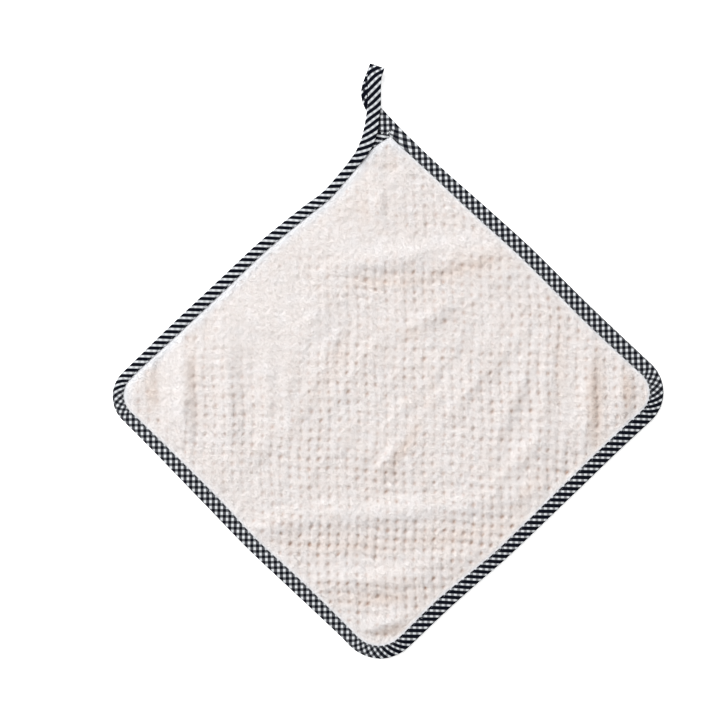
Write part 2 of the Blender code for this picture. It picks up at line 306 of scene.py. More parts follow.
# The pile: locks on a square metre, how they lean, and how they are combed over
# the hem, shortened in hollows and grooves and gathered in clumps
FACE_DENSITY = 2.15e6
BACK_DENSITY = 2.0e6
SHORT_COAT = 0.75
SHORTEST_LOCK = 0.55
PILE_LEAN = 0.9
FLOW_SCALE = 330.0
FLOW_LEAN = 2.6
STRAY_LEAN = (0.7, 0.7, 0.3)
LOCK_SPIN = 0.9
COVER_FROM = 0.5 * MM
COVER_OVER = 0.9 * MM
FRINGE_REACH = 1.35 * MM
COMBED_OVER = 2.0 * MM
HOLLOW_CROPS = 0.5
GROOVE_CROPS = 0.15
CLUMP_CROPS = 0.35
CLUMP_TONE = 0.8
LOCK_SEED = 17
# How strongly the hollows and grooves are darkened as painted shade on the locks
HOLLOW_SHADE = 0.9
GROOVE_SHADE = 0.2

# The middle line of the loop's tape in millimetres: from its root, over the
# corner, round the turn and back below it. Lean is the heading of the tape's
# width from +X in degrees, and thick its thickness
TapePoint = namedtuple("TapePoint", "x y z lean width thick")
TAPE_ROUTE = (
    TapePoint(-24.4, 171.6, 4.75, -46, 7.6, 0.3),
    TapePoint(-20.2, 176.0, 5.2, -45, 8.2, 0.7),
    TapePoint(-14.6, 185.8, 6.0, -28, 9.8, 1.2),
    TapePoint(-11.6, 195.5, 6.4, -12, 10.4, 1.4),
    TapePoint(-10.3, 204.6, 6.4, -4, 9.8, 1.4),
    TapePoint(-9.0, 213.1, 6.8, -2, 9.8, 1.4),
    TapePoint(-8.8, 221.5, 8.1, 0, 9.6, 1.4),
    TapePoint(-8.8, 229.4, 8.7, -4, 9.8, 1.4),
    TapePoint(-8.6, 235.6, 8.4, -9, 10.8, 1.4),
    TapePoint(-7.3, 240.6, 7.1, -17, 11.4, 1.4),
    TapePoint(-6.9, 242.2, 4.9, -19, 11.6, 1.4),
    TapePoint(-7.7, 240.8, 2.6, -20, 11.2, 1.4),
    TapePoint(-9.8, 236.2, 1.2, -14, 10.6, 1.4),
    TapePoint(-12.4, 229.9, 0.8, -6, 10.2, 1.4),
    TapePoint(-13.8, 223.4, 0.8, 4, 10.0, 1.4),
    TapePoint(-12.6, 217.0, 0.8, 20, 10.0, 1.4),
    TapePoint(-9.7, 211.2, 0.8, 36, 10.0, 1.4),
    TapePoint(-6.2, 205.4, 0.8, 44, 10.0, 1.4),
    TapePoint(-2.8, 200.4, 0.8, 46, 10.0, 1.4),
)

# The flat layout that shows each piece's colours unfolded in a square, with the
# binding and loop cut into strips and the loop's two ends above them
LAYOUT = "OFBake"
LAYOUT_SIDE = 325 * MM
LOCK_LAYOUT = ((0.0, 0.0016), (-0.0013, -0.001), (0.0013, -0.001))
HIDDEN_SHARE = 0.25
BINDING_STRIPS = 7
LOOP_STRIPS = 3
STRIPS_TOP = 0.94
STRIP_MARGIN = 0.04
ROW_MARGIN = 0.01
END_PLACES = (0.1, 0.2)
END_HEIGHT = 0.97
END_RADIUS = 0.02

# How finely the pieces are divided
FLEECE_CELLS = 220
RELAX_PASSES = 240
BINDING_STEP = 1.0 * MM
LOOP_STEP = 0.5 * MM

# How dark the check's two sets of dark threads show, and the share of its
# repeat that the main set covers, on each side from the loop's corner clockwise
Weave = namedtuple("Weave", "main cross share")
WEAVES = (
    Weave(0.91, 0.81, 0.57),
    Weave(1.00, 0.64, 0.64),
    Weave(0.89, 0.84, 0.56),
    Weave(1.00, 0.28, 0.61),
)
WEAVE_CHANGE = 8 * MM
# A darker weave painted on the loop's back strand as painted shade
LOOP_BACK_SHADE_WEAVE = Weave(1.00, 0.92, 0.70)

# How far a wave's crossing shifts as its stripe takes more of the repeat, how soft
# the stripe's edge is, and the fine threads' number in a repeat and their tone
SHARE_SHIFT = 1.5
STRIPE_EDGE = 0.32
THREADS_A_REPEAT = 12.0
THREAD_TONE = 0.07

# The crease in millimetres where the first side's tape laps over the last's
LAP_CREASE = ((3.4, 191.3), (-7.7, 195.0))
LAP_REACH = 24 * MM
LAP_END = 9 * MM
LAP_FACES_UP = 0.3

# The tape: its usual width, where the binding's puckers end as a share of that,
# the loop's lowest point and where along it the weave is darkened as painted shade on the back
# strand
TAPE_WIDTH = 10 * MM
PUCKER_TO = 0.96
LOOP_LOWEST = 0.05 * MM
LOOP_TURN = 0.5
LOOP_TURN_RATE = 8
STRIP_TRIES = 1000

# The seam: points along each side, how the stitches lie in the binding, how much
# of the pitch each covers, its thickness, and how the two faces' rows part flat
SEAM_CELLS = 200
STITCH_SUNK = 0.1 * MM
STITCH_BELOW = 0.2 * MM
STITCH_SHARE = 0.82
STITCH_THICK = 0.34 * MM
STITCH_SPREAD = (0.4, 0.25)

# Grid of hollows in the fleece, which lines up with the towel's diagonals
GRID_TILT = math.radians(3)
GRID_WAVE = 0.9 * MM
GRID_WAVE_LENGTH = 70 * MM

# The photograph's frame: where the camera aims and how wide it sees
CAMERA_AIM = (-19.5 * MM, 26.0 * MM)
VIEW_WIDTH = 531.4 * MM
LENS = 90
SENSOR_WIDTH = 36
FOCUS_PLANE_Z = 3 * MM

# The soft key light, which falls from the upper left
KEY_HEADING = (0.62, -0.72, -0.95)
KEY_DISTANCE = 3.6
KEY_SPREAD = math.radians(50)
KEY_BRIGHTNESS = 4.6

# The plain floor's half side in metres and the room's even light
FLOOR_REACH = 30.0
FLOOR_GLOW = 0.6
ROOM_LIGHT = 0.42
SIGHT_LIMIT = 20


def length_property(name, description, default):
    """A length in the sidebar, with its default in millimetres."""
    return bpy.props.FloatProperty(
        name=name, description=description, default=default * MM, unit="LENGTH"
    )


def colour_property(name, description, default):
    """A colour in the sidebar."""
    return bpy.props.FloatVectorProperty(
        name=name, description=description, default=default, subtype="COLOR", size=3
    )


class TowelSizes(bpy.types.PropertyGroup):
    """Sizes of the towel's surface detail."""

    grid_pitch: length_property(
        "Grid pitch", "Distance between neighbouring hollows in the fleece", 7.05
    )
    hollow_depth: length_property(
        "Hollow depth", "How deep the hollows of the fleece are", 0.65
    )
    hollow_width: length_property(
        "Hollow width", "How far a hollow reaches from its middle", 1.3
    )
    ground_thick: length_property(
        "Ground thickness", "Thickness of the fleece without its pile", 2.0
    )
    pile_length: length_property(
        "Pile length", "Length of the fleece's longest fibres", 1.5
    )
    back_pile_length: length_property(
        "Back pile length", "Length of the fibres on the towel's flattened underside", 0.8
    )
    pile_width: length_property(
        "Pile width", "Width of a lock of fibres at its root", 0.3
    )
    check_repeat: length_property(
        "Check repeat", "Distance between dark lines of the checked tape", 4.2
    )
    stitch_pitch: length_property(
        "Stitch pitch", "Distance between the seam's stitches", 3.1
    )
    stitch_inset: length_property(
        "Stitch inset", "How far the seam lies from the binding's inner edge", 1.1
    )


class TowelColours(bpy.types.PropertyGroup):
    """Colours of the towel's yarns."""

    fleece: colour_property(
        "Fleece", "Colour of the fleece's pile", (0.870, 0.829, 0.810)
    )
    # Painted highlight: the paler, bluer colour painted along the hem, towards the light and on
    # crests
    margin: colour_property(
        "Margin", "Colour of the fluffed pile beside the binding", (0.848, 0.86, 0.888)
    )
    # Painted shade: the warmer, darker colour painted into the folds' valleys
    valley: colour_property(
        "Valley", "Colour of the pile where a valley holds it open", (0.80, 0.68, 0.60)
    )
    # Painted shade: the pinker, darker colour painted into the hollows and grooves
    hollow: colour_property(
        "Hollow", "Colour in the bottom of the fleece's hollows", (0.45, 0.31, 0.245)
    )
    dark_yarn: colour_property(
        "Dark yarn", "Colour of the checked tape's dark yarn", (0.003, 0.004, 0.009)
    )
    pale_yarn: colour_property(
        "Pale yarn", "Colour of the checked tape's pale yarn", (0.72, 0.745, 0.775)
    )
    thread: colour_property(
        "Thread", "Colour of the sewing thread", (0.05, 0.052, 0.065)
    )
    floor: colour_property("Floor", "Colour of the floor", (0.95, 0.95, 0.95))


# Shape of the towel


def smooth_step(value):
    """Eases values from 0 to 1 with level ends."""
    value = np.clip(value, 0.0, 1.0)
    return value * value * (3 - 2 * value)


def spline(before, start, end, after, share):
    """A Catmull-Rom value between start and end."""
    bend = 2 * before - 5 * start + 4 * end - after
    twist = 3 * start - before - 3 * end + after
    return start + 0.5 * share * (end - before + share * (bend + share * twist))


def read_edge(rows, share):
    """The inward bow and binding width at a share of a side, in metres."""
    ends = (rows[0],) + rows + (rows[-1],)
    for index in range(1, len(ends) - 2):
        if share <= ends[index + 1].share:
            break
    window = ends[index - 1 : index + 3]
    along = (share - window[1].share) / (window[2].share - window[1].share)
    inward = spline(*(row.inward for row in window), along)
    width = spline(*(row.width for row in window), along)
    return inward * MM, width * MM


def corner_place(corner):
    """The point where a corner's two sides would meet if they were straight."""
    half_diagonal = SIDE / math.sqrt(2)
    return Vector(
        (
            corner.out_x * half_diagonal + corner.shift_x * MM,
            corner.out_y * half_diagonal + corner.shift_y * MM,
        )
    )


def side_frame(side):
    """A side's start, heading, inward normal and length."""
    start = corner_place(CORNERS[side])
    end = corner_place(CORNERS[(side + 1) % len(CORNERS)])
    heading = (end - start).normalized()
    return start, heading, Vector((heading.y, -heading.x)), (end - start).length


def corner_turn(index):
    """Radius, tangent length and half turn of a corner."""
    heading_in = side_frame((index - 1) % len(CORNERS))[1]
    heading_out = side_frame(index)[1]
    half_turn = heading_in.angle(heading_out) / 2
    radius = CORNERS[index].radius * MM
    return radius, radius * math.tan(half_turn), half_turn


def corner_shift(index, inward_before, inward_after):
    """The shift of a corner that moves its two sides inwards by these amounts."""
    before = side_frame((index - 1) % len(CORNERS))[2]
    after = side_frame(index)[2]
    turn = before.x * after.y - before.y * after.x
    return Vector(
        (
            (inward_before * after.y - inward_after * before.y) / turn,
            (inward_after * before.x - inward_before * after.x) / turn,
        )
    )


def side_run(side):
    """A side's length round its two half corners."""
    length = side_frame(side)[3]
    radius_a, tangent_a, half_a = corner_turn(side)
    radius_b, tangent_b, half_b = corner_turn((side + 1) % len(CORNERS))
    return radius_a * half_a + length - tangent_a - tangent_b + radius_b * half_b


def edge_station(side, share):
    """A point on the outer edge, the vector across the binding there, how far
    that vector slides along the side where two sides meet, and the width.

    The share runs from the middle of one corner to the middle of the next.
    """
    start, heading, normal, length = side_frame(side)
    next_side = (side + 1) % len(CORNERS)
    radius_a, tangent_a, half_a = corner_turn(side)
    radius_b, tangent_b, half_b = corner_turn(next_side)
    arc_a = radius_a * half_a
    straight = length - tangent_a - tangent_b
    run = share * side_run(side)
    if run < arc_a:
        angle = half_a - run / radius_a
        inwards = normal * math.cos(angle) + heading * math.sin(angle)
        centre = start + heading * tangent_a + normal * radius_a
        place = centre - inwards * radius_a
    elif run > arc_a + straight:
        angle = (run - arc_a - straight) / radius_b if radius_b else 0.0
        inwards = normal * math.cos(angle) - heading * math.sin(angle)
        centre = start + heading * (length - tangent_b) + normal * radius_b
        place = centre - inwards * radius_b
    else:
        inwards = normal
        place = start + heading * (tangent_a + run - arc_a)
    along = (place - start).dot(heading)
    inward, width = read_edge(SIDES[side], along / length)
    place = place + inwards * inward
    across = inwards * width
    slide = 0.0
    for index, distance in ((side, along), (next_side, length - along)):
        if CORNERS[index].radius == 0 and distance < MITRE_RUN:
            fade = 1 - distance / MITRE_RUN
            inward_a, width_a = read_edge(SIDES[index - 1], 1.0)
            inward_b, width_b = read_edge(SIDES[index], 0.0)
            bow = corner_shift(index, inward_a, inward_b)
            mitre = corner_shift(index, width_a, width_b)
            slide = mitre.dot(heading) * fade
            place = place + heading * bow.dot(heading) * fade
            across = across + heading * slide
    return place, across, slide, width


def fold_height(x, y):
    """How far the towel lifts off the surface, for arrays of places."""
    tip_share = (y - TIP_RISE_FROM_Y) / (TIP_RISE_FULL_Y - TIP_RISE_FROM_Y)
    return TIP_RISE * smooth_step(tip_share) + crest_height(FOLDS, x, y)


def crest_height(folds, x, y):
    """The height that a table of folds adds, for arrays of places."""
    height = 0.0
    for fold in folds:
        heading = math.radians(fold.heading)
        off_x = x / MM - fold.x
        off_y = y / MM - fold.y
        along = off_x * math.cos(heading) + off_y * math.sin(heading)
        across = off_y * math.cos(heading) - off_x * math.sin(heading)
        along = np.clip(2 * along / fold.length, -1, 1)
        across = np.clip(across / fold.half_width, -1, 1)
        bump = np.cos(math.pi / 2 * along) * np.cos(math.pi / 2 * across)
        height = height + fold.height * MM * bump * bump
    return height


def soft_noise(x, y, *noises):
    """Smooth noise for arrays of places, added up from one or more noises."""
    total = 0.0
    for noise in noises:
        random = np.random.default_rng(noise.seed)
        knots = random.uniform(-1, 1, (NOISE_KNOTS, NOISE_KNOTS))
        column = x / (noise.patch * MM) + NOISE_KNOTS / 2
        row = y / (noise.patch * MM) + NOISE_KNOTS / 2
        whole_column = np.floor(column).astype(int)
        whole_row = np.floor(row).astype(int)
        u = smooth_step(column - whole_column)
        v = smooth_step(row - whole_row)
        left = whole_column % NOISE_KNOTS
        right = (whole_column + 1) % NOISE_KNOTS
        low = whole_row % NOISE_KNOTS
        high = (whole_row + 1) % NOISE_KNOTS
        near = knots[low, left] * (1 - u) + knots[low, right] * u
        far = knots[high, left] * (1 - u) + knots[high, right] * u
        total = total + noise.amount * (near * (1 - v) + far * v)
    return total


def grid_coordinates(x, y, pitch):
    """Places in the grid of hollows, counted in hollows."""
    wave = 2 * math.pi / GRID_WAVE_LENGTH
    across = x + GRID_WAVE * np.sin(wave * y)
    up = y + x * math.tan(GRID_TILT) + GRID_WAVE * np.sin(wave * x + 1.0)
    return across / pitch, up / pitch


def grid_hollows(x, y, sizes):
    """How deep the grid's hollows and grooves are at places, each from 0 to about
    1, and how strong the painted valley shade is there, less than 0 where it is brushed
    shut and painted highlight is added."""
    pitch = sizes.grid_pitch
    column, row = grid_coordinates(x, y, pitch)
    i = np.round(column).astype(int)
    j = np.round(row).astype(int)
    random = np.random.default_rng(HOLLOW_SEED)
    kinds = random.uniform(-1, 1, (5, HOLLOW_KINDS, HOLLOW_KINDS))
    kind = kinds[:, j % HOLLOW_KINDS, i % HOLLOW_KINDS]
    shift_x, shift_y, size, stretch, strength = kind
    off_x = (column - i - HOLLOW_WANDER * shift_x) * pitch
    off_y = (row - j - HOLLOW_WANDER * shift_y) * pitch
    slant = (off_x + off_y) / math.sqrt(2)
    cross = (off_y - off_x) / math.sqrt(2)
    width = sizes.hollow_width * (1 + HOLLOW_SPREAD * size)
    long_way = width * (HOLLOW_LONG + HOLLOW_STRETCH * stretch)
    short_way = width * (HOLLOW_SHORT - HOLLOW_STRETCH / 2 * stretch)
    alternate = np.where((i + j) % 2 == 0, HOLLOW_STRONG, HOLLOW_WEAK)
    hollow = np.exp(-((slant / long_way) ** 2) - (cross / short_way) ** 2)
    hollow = hollow * alternate * (1 + HOLLOW_UNEVEN * strength)
    # Random wear, and a growth towards the lower right that is partly painted shade
    worn_and_shaded = WEAR + soft_noise(x, y, WEAR_NOISE) + (HOLLOWS_PER_X * x + HOLLOWS_PER_Y * y) / MM
    # Painted shade in the folds' valleys, less where a patch is brushed shut
    valley_shade_amount = crest_height(VALLEY_SHADE_STREAKS, x, y) / MM
    for spot in BRUSHED:
        away_x = (x / MM - spot.x) / spot.reach_x
        away_y = (y / MM - spot.y) / spot.reach_y
        brushed = spot.amount * np.exp(-(away_x**2 + away_y**2))
        worn_and_shaded = worn_and_shaded - brushed
        valley_shade_amount = valley_shade_amount - BRUSHED_SHUT * brushed
    worn_and_shaded = np.clip(worn_and_shaded, *WEAR_LIMITS)
    groove = 0.0
    for place, depth, noise in zip(
        (column, row), (GROOVE_DOWN, GROOVE_ALONG), GROOVE_NOISES
    ):
        line = np.cos(math.pi * place) ** GROOVE_POWER
        groove = groove + np.clip(line * (depth + soft_noise(x, y, noise)), 0, 1)
    return hollow * worn_and_shaded, np.clip(groove, 0, GROOVE_LIMIT) * worn_and_shaded, valley_shade_amount


# Rings and the fleece's surface


def edge_ring(cells, share_across, past_binding=0.0):
    """A closed ring of points round the towel, clockwise from the loop's corner."""
    points = []
    for side in range(len(CORNERS)):
        for cell in range(cells):
            place, across, _, _ = edge_station(side, cell / cells)
            spot = place + across * (share_across + past_binding / across.length)
            points.append((spot.x, spot.y))
    return np.array(points)


def patch(ring, cells):
    """Points inside a ring of four sides, as an array of rows and columns."""
    u = np.linspace(0, 1, cells + 1)[None, :, None]
    v = np.linspace(0, 1, cells + 1)[:, None, None]
    whole = np.vstack([ring, ring[:1]])
    upper_right = whole[: cells + 1][None, :, :]
    lower_right = whole[cells : 2 * cells + 1][:, None, :]
    lower_left = whole[2 * cells : 3 * cells + 1][::-1][None, :, :]
    upper_left = whole[3 * cells :][::-1][:, None, :]
    blended = upper_right * (1 - v) + lower_left * v
    blended = blended + upper_left * (1 - u) + lower_right * u
    blended = blended - ring[0] * (1 - u) * (1 - v) - ring[cells] * u * (1 - v)
    grid = blended - ring[3 * cells] * (1 - u) * v - ring[2 * cells] * u * v
    for _ in range(RELAX_PASSES):
        beside = grid[1:-1, :-2] + grid[1:-1, 2:] + grid[:-2, 1:-1] + grid[2:, 1:-1]
        grid[1:-1, 1:-1] = beside / 4
    return grid


def distance_inside(points, ring, inner):
    """How far inside a closed ring each point lies, less than 0 outside it, and
    the way out of the ring from there."""
    tree = KDTree(len(ring))
    for index, spot in enumerate(ring):
        tree.insert((spot[0], spot[1], 0), index)
    tree.balance()
    found = np.empty(len(points))
    outwards = np.zeros((len(points), 3))
    for index, (x, y) in enumerate(points):
        _, nearest, distance = tree.find((x, y, 0))
        way_in = inner[nearest] - ring[nearest]
        side = (x - ring[nearest][0]) * way_in[0] + (y - ring[nearest][1]) * way_in[1]
        found[index] = math.copysign(distance, side)
        outwards[index, :2] = -way_in / np.hypot(*way_in)
    return found, outwards


def pile_tints(x, y, inside, outwards, valley_shade_amount):
    """How strong the painted valley shade is at places, with random mottle, and how
    strong the painted highlight is along the hem, towards the light and on crests.
    """
    up_left = (outwards[:, 1] - outwards[:, 0]) / math.sqrt(2)
    lit = np.clip(LIT_SHARE + up_left, 0, 1)
    fringe = 1 - smooth_step(inside / FRINGE_OVER)
    # Painted highlight along the hem and, wider, on the sides that face the light
    highlighted = np.maximum(fringe, (1 - smooth_step(inside / HIGHLIGHTED_OVER)) * lit)
    mottled = soft_noise(x, y, MOTTLE_NOISE)
    # Painted highlight on the crests of the folds and ripples
    crest = crest_height(RIPPLES + FOLDS, x, y) / FULL_CREST
    pale = np.clip(PALE_CREST * crest - PALE_SHUT * valley_shade_amount - mottled, 0, PALE_LIMIT)
    # Painted shade in the valleys, warmer and darker, with random mottle, kept off the hem
    warm = np.clip(valley_shade_amount + mottled, 0, WARM_LIMIT) * (1 - fringe)
    return warm, np.maximum(highlighted, pale)


FleeceLayers = namedtuple(
    "FleeceLayers", "x y top bottom hollow warm pale clear inside outwards"
)


def fleece_layers(sizes):
    """The fleece's two faces, with what its material and pile need to know."""
    grid = patch(edge_ring(FLEECE_CELLS, FLEECE_TUCK), FLEECE_CELLS)
    x = grid[:, :, 0].ravel()
    y = grid[:, :, 1].ravel()
    hem = edge_ring(HEM_CELLS, 1.0)
    within = edge_ring(HEM_CELLS, 1.0, HEM_STEP)
    inside, outwards = distance_inside(np.stack([x, y], 1), hem, within)
    clear = smooth_step((inside - CLEAR_FROM) / CLEAR_OVER)
    hollow, groove, valley_shade_amount = grid_hollows(x, y, sizes)
    hollow = hollow * clear
    groove = groove * clear
    lumps = soft_noise(x, y, *LUMP_NOISES) * MM * smooth_step(inside / LUMPS_OVER)
    relief = lumps - sizes.hollow_depth * hollow - GROOVE_DEPTH * groove
    fullness = smooth_step(inside / SQUEEZED_OVER)
    body = SQUEEZED_THICK + (sizes.ground_thick - SQUEEZED_THICK) * fullness
    ripples = crest_height(RIPPLES, x, y) * smooth_step(inside / RIPPLES_OVER)
    lift = ripples + INNER_LIFT * smooth_step(inside / INNER_LIFT_OVER)
    middle = FLEECE_THICK / 2 + fold_height(x, y) + lift
    top = middle + body / 2 + relief
    bottom = np.maximum(middle - body / 2 - BACK_RELIEF * relief, LOWEST_GROUND)
    warm, pale = pile_tints(x, y, inside, outwards, valley_shade_amount)
    return FleeceLayers(x, y, top, bottom, hollow, warm, pale, clear, inside, outwards)


def grid_faces(cells, first, flipped):
    """Quads of a square grid of vertices numbered from first."""
    index = first + np.arange((cells + 1) ** 2).reshape(cells + 1, cells + 1)
    corners = (index[:-1, :-1], index[1:, :-1], index[1:, 1:], index[:-1, 1:])
    if flipped:
        corners = corners[::-1]
    return np.stack([corner.ravel() for corner in corners], 1)


def rim_order(cells):
    """The grid's edge vertices, clockwise from the loop's corner."""
    index = np.arange((cells + 1) ** 2).reshape(cells + 1, cells + 1)
    return np.concatenate(
        [index[0, :-1], index[:-1, -1], index[-1, :0:-1], index[:0:-1, 0]]
    )


def place_object(name, data):
    """An object at the origin, in the scene."""
    placed = bpy.data.objects.new(name, data)
    bpy.context.scene.collection.objects.link(placed)
    return placed


def new_piece(name, points, faces):
    """A mesh object at the origin, in the scene."""
    mesh = bpy.data.meshes.new(name)
    mesh.from_pydata([tuple(point) for point in points], [], [tuple(f) for f in faces])
    mesh.update()
    return place_object(name, mesh)


def point_outwards(piece):
    """Turns a closed mesh's faces outwards."""
    shape = bmesh.new()
    shape.from_mesh(piece.data)
    bmesh.ops.recalc_face_normals(shape, faces=shape.faces)
    shape.to_mesh(piece.data)
    shape.free()


def store_values(mesh, name, values):
    """Keeps a value on each vertex for the material and the pile."""
    attribute = mesh.attributes.get(name) or mesh.attributes.new(name, "FLOAT", "POINT")
    attribute.data.foreach_set("value", np.asarray(values, np.float32))


# Flat layouts


def keep_layout(mesh, places):
    """Gives a mesh a flat layout in a square, with a place for each face's corner."""
    layer = mesh.uv_layers.new(name=LAYOUT, do_init=False)
    layer.data.foreach_set("uv", np.asarray(places, np.float32).ravel())


def square_places(x, y):
    """Places on the towel seen from above, turned so that it fills a square."""
    turned = np.stack([x + y, y - x], -1) / math.sqrt(2)
    return 0.5 + turned / LAYOUT_SIDE


def corner_vertices(mesh):
    """The vertex of each face's corner."""
    found = np.empty(len(mesh.loops), np.int32)
    mesh.loops.foreach_get("vertex_index", found)
    return found


def section_shares(lengths, hidden_from=None):
    """Where a section's points lie across a layout, with its hidden part narrow."""
    steps = np.diff(lengths)
    if hidden_from is not None:
        steps[hidden_from:] *= HIDDEN_SHARE
    return np.concatenate([[0.0], np.cumsum(steps)]) / steps.sum()


# Node trees


def node_group(name, kind, inputs, outputs):
    """A node group with named sockets; returns it with its two ends."""
    tree = bpy.data.node_groups.new(name, kind)
    for way, sockets in (("INPUT", inputs), ("OUTPUT", outputs)):
        for label, socket in sockets:
            tree.interface.new_socket(
                name=label, in_out=way, socket_type="NodeSocket" + socket
            )
    return tree, tree.nodes.new("NodeGroupInput"), tree.nodes.new("NodeGroupOutput")


def tree_node(tree, kind, values=(), **settings):
    """A node with its settings, and its inputs linked or set by name or number."""
    node = tree.nodes.new(kind)
    for name, value in settings.items():
        setattr(node, name, value)
    for key, value in dict(values).items():
        if isinstance(value, bpy.types.NodeSocket):
            tree.links.new(value, node.inputs[key])
        else:
            node.inputs[key].default_value = value
    return node


def math_node(tree, operation, *values):
    """A Math node whose inputs are sockets or numbers; returns its output."""
    numbered = dict(enumerate(values))
    return tree_node(tree, "ShaderNodeMath", numbered, operation=operation).outputs[0]


def mix_colour(tree, factor, first, second, blend="MIX"):
    """A colour Mix node; returns its result."""
    values = {0: factor, 6: first, 7: second}
    node = tree_node(tree, "ShaderNodeMix", values, data_type="RGBA", blend_type=blend)
    return node.outputs[2]


def scaled_colour(tree, colour, scale):
    """A colour made darker or lighter by a number; returns the socket."""
    grey = tree_node(tree, "ShaderNodeCombineColor", {0: scale, 1: scale, 2: scale})
    return mix_colour(tree, 1.0, colour, grey.outputs[0], "MULTIPLY")


def noise_node(tree, vector, scale, detail, roughness):
    """A Noise Texture; returns its value."""
    values = {"Vector": vector, "Scale": scale, "Detail": detail, "Roughness": roughness}
    return tree_node(tree, "ShaderNodeTexNoise", values).outputs["Fac"]


def attribute_value(tree, name):
    """The value that a mesh keeps on its vertices; returns the socket."""
    return tree_node(tree, "ShaderNodeAttribute", attribute_name=name).outputs["Fac"]


def object_coordinates(tree):
    """Object coordinates; returns the socket."""
    return tree.nodes.new("ShaderNodeTexCoord").outputs["Object"]


# Materials


def tone_group():
    """Node group: uneven tone of undyed and dyed yarn, in soft patches and fine specks."""
    tree, start, end = node_group(
        "Yarn tone",
        "ShaderNodeTree",
        (
            ("Vector", "Vector"),
            ("Colour", "Color"),
            ("Patch amount", "Float"),
            ("Speck amount", "Float"),
        ),
        (("Colour", "Color"),),
    )
    given = start.outputs
    tone = 1.0
    for amount, scale, roughness in (
        ("Patch amount", 26.0, 0.5),
        ("Speck amount", 900.0, 0.65),
    ):
        noise = noise_node(tree, given["Vector"], scale, 3.0, roughness)
        signed = math_node(tree, "MULTIPLY_ADD", noise, 2.0, -1.0)
        tone = math_node(tree, "MULTIPLY_ADD", signed, given[amount], tone)
    toned = scaled_colour(tree, given["Colour"], tone)
    tree.links.new(toned, end.inputs["Colour"])
    return tree


def new_material(name, roughness, sheen, specular=0.2):
    """A cloth material with its shader; returns the material, tree and shader."""
    material = bpy.data.materials.new(name)
    material.use_nodes = True
    tree = material.node_tree
    shader = tree.nodes["Principled BSDF"]
    shader.inputs["Roughness"].default_value = roughness
    shader.inputs["Sheen Weight"].default_value = sheen
    shader.inputs["Sheen Roughness"].default_value = 0.5
    shader.inputs["Specular IOR Level"].default_value = specular
    return material, tree, shader


def opaque(colour):
    """A colour with full alpha."""
    return (*colour, 1.0)


def colour_surface(tree, shader, tone, colour, patches, specks):
    """Gives the shader its colour, made uneven by the yarn's tone."""
    values = {
        "Vector": object_coordinates(tree),
        "Colour": colour,
        "Patch amount": patches,
        "Speck amount": specks,
    }
    toned = tree_node(tree, "ShaderNodeGroup", values, node_tree=tone)
    tree.links.new(toned.outputs["Colour"], shader.inputs["Base Color"])


def add_bump(tree, shader, height, distance):
    """Raises the surface's shading by a height value."""
    values = {"Distance": distance, "Strength": 1.0, "Height": height}
    bump = tree_node(tree, "ShaderNodeBump", values)
    tree.links.new(bump.outputs["Normal"], shader.inputs["Normal"])


def fleece_material(colours, tone, name, lightness):
    """Cream fleece: paler with painted highlight along the hem, towards the light and on
    crests, warmer with painted shade in the folds' valleys, and pinker and darker with
    painted shade in its hollows."""
    material, tree, shader = new_material(name, 1.0, 0.35)
    cloth = opaque(min(1.0, value * lightness) for value in colours.fleece)
    # Painted highlight, painted valley shade and painted shade in the hollows, mixed over the
    # pile's colour
    for value, share, colour in (
        ("pale", 0.95, colours.margin),
        ("warm", 0.42, colours.valley),
        ("hollow", 0.85, colours.hollow),
    ):
        amount = math_node(tree, "MULTIPLY", attribute_value(tree, value), share)
        amount.node.use_clamp = value == "hollow"
        cloth = mix_colour(tree, amount, cloth, opaque(colour))
    lock = attribute_value(tree, "lock_tone")
    cloth = scaled_colour(tree, cloth, math_node(tree, "MULTIPLY_ADD", lock, 0.07, 1.0))
    colour_surface(tree, shader, tone, cloth, 0.05, 0.10)
    fuzz = noise_node(tree, object_coordinates(tree), 1100.0, 4.0, 0.7)
    add_bump(tree, shader, fuzz, 0.5 * MM)
    return material


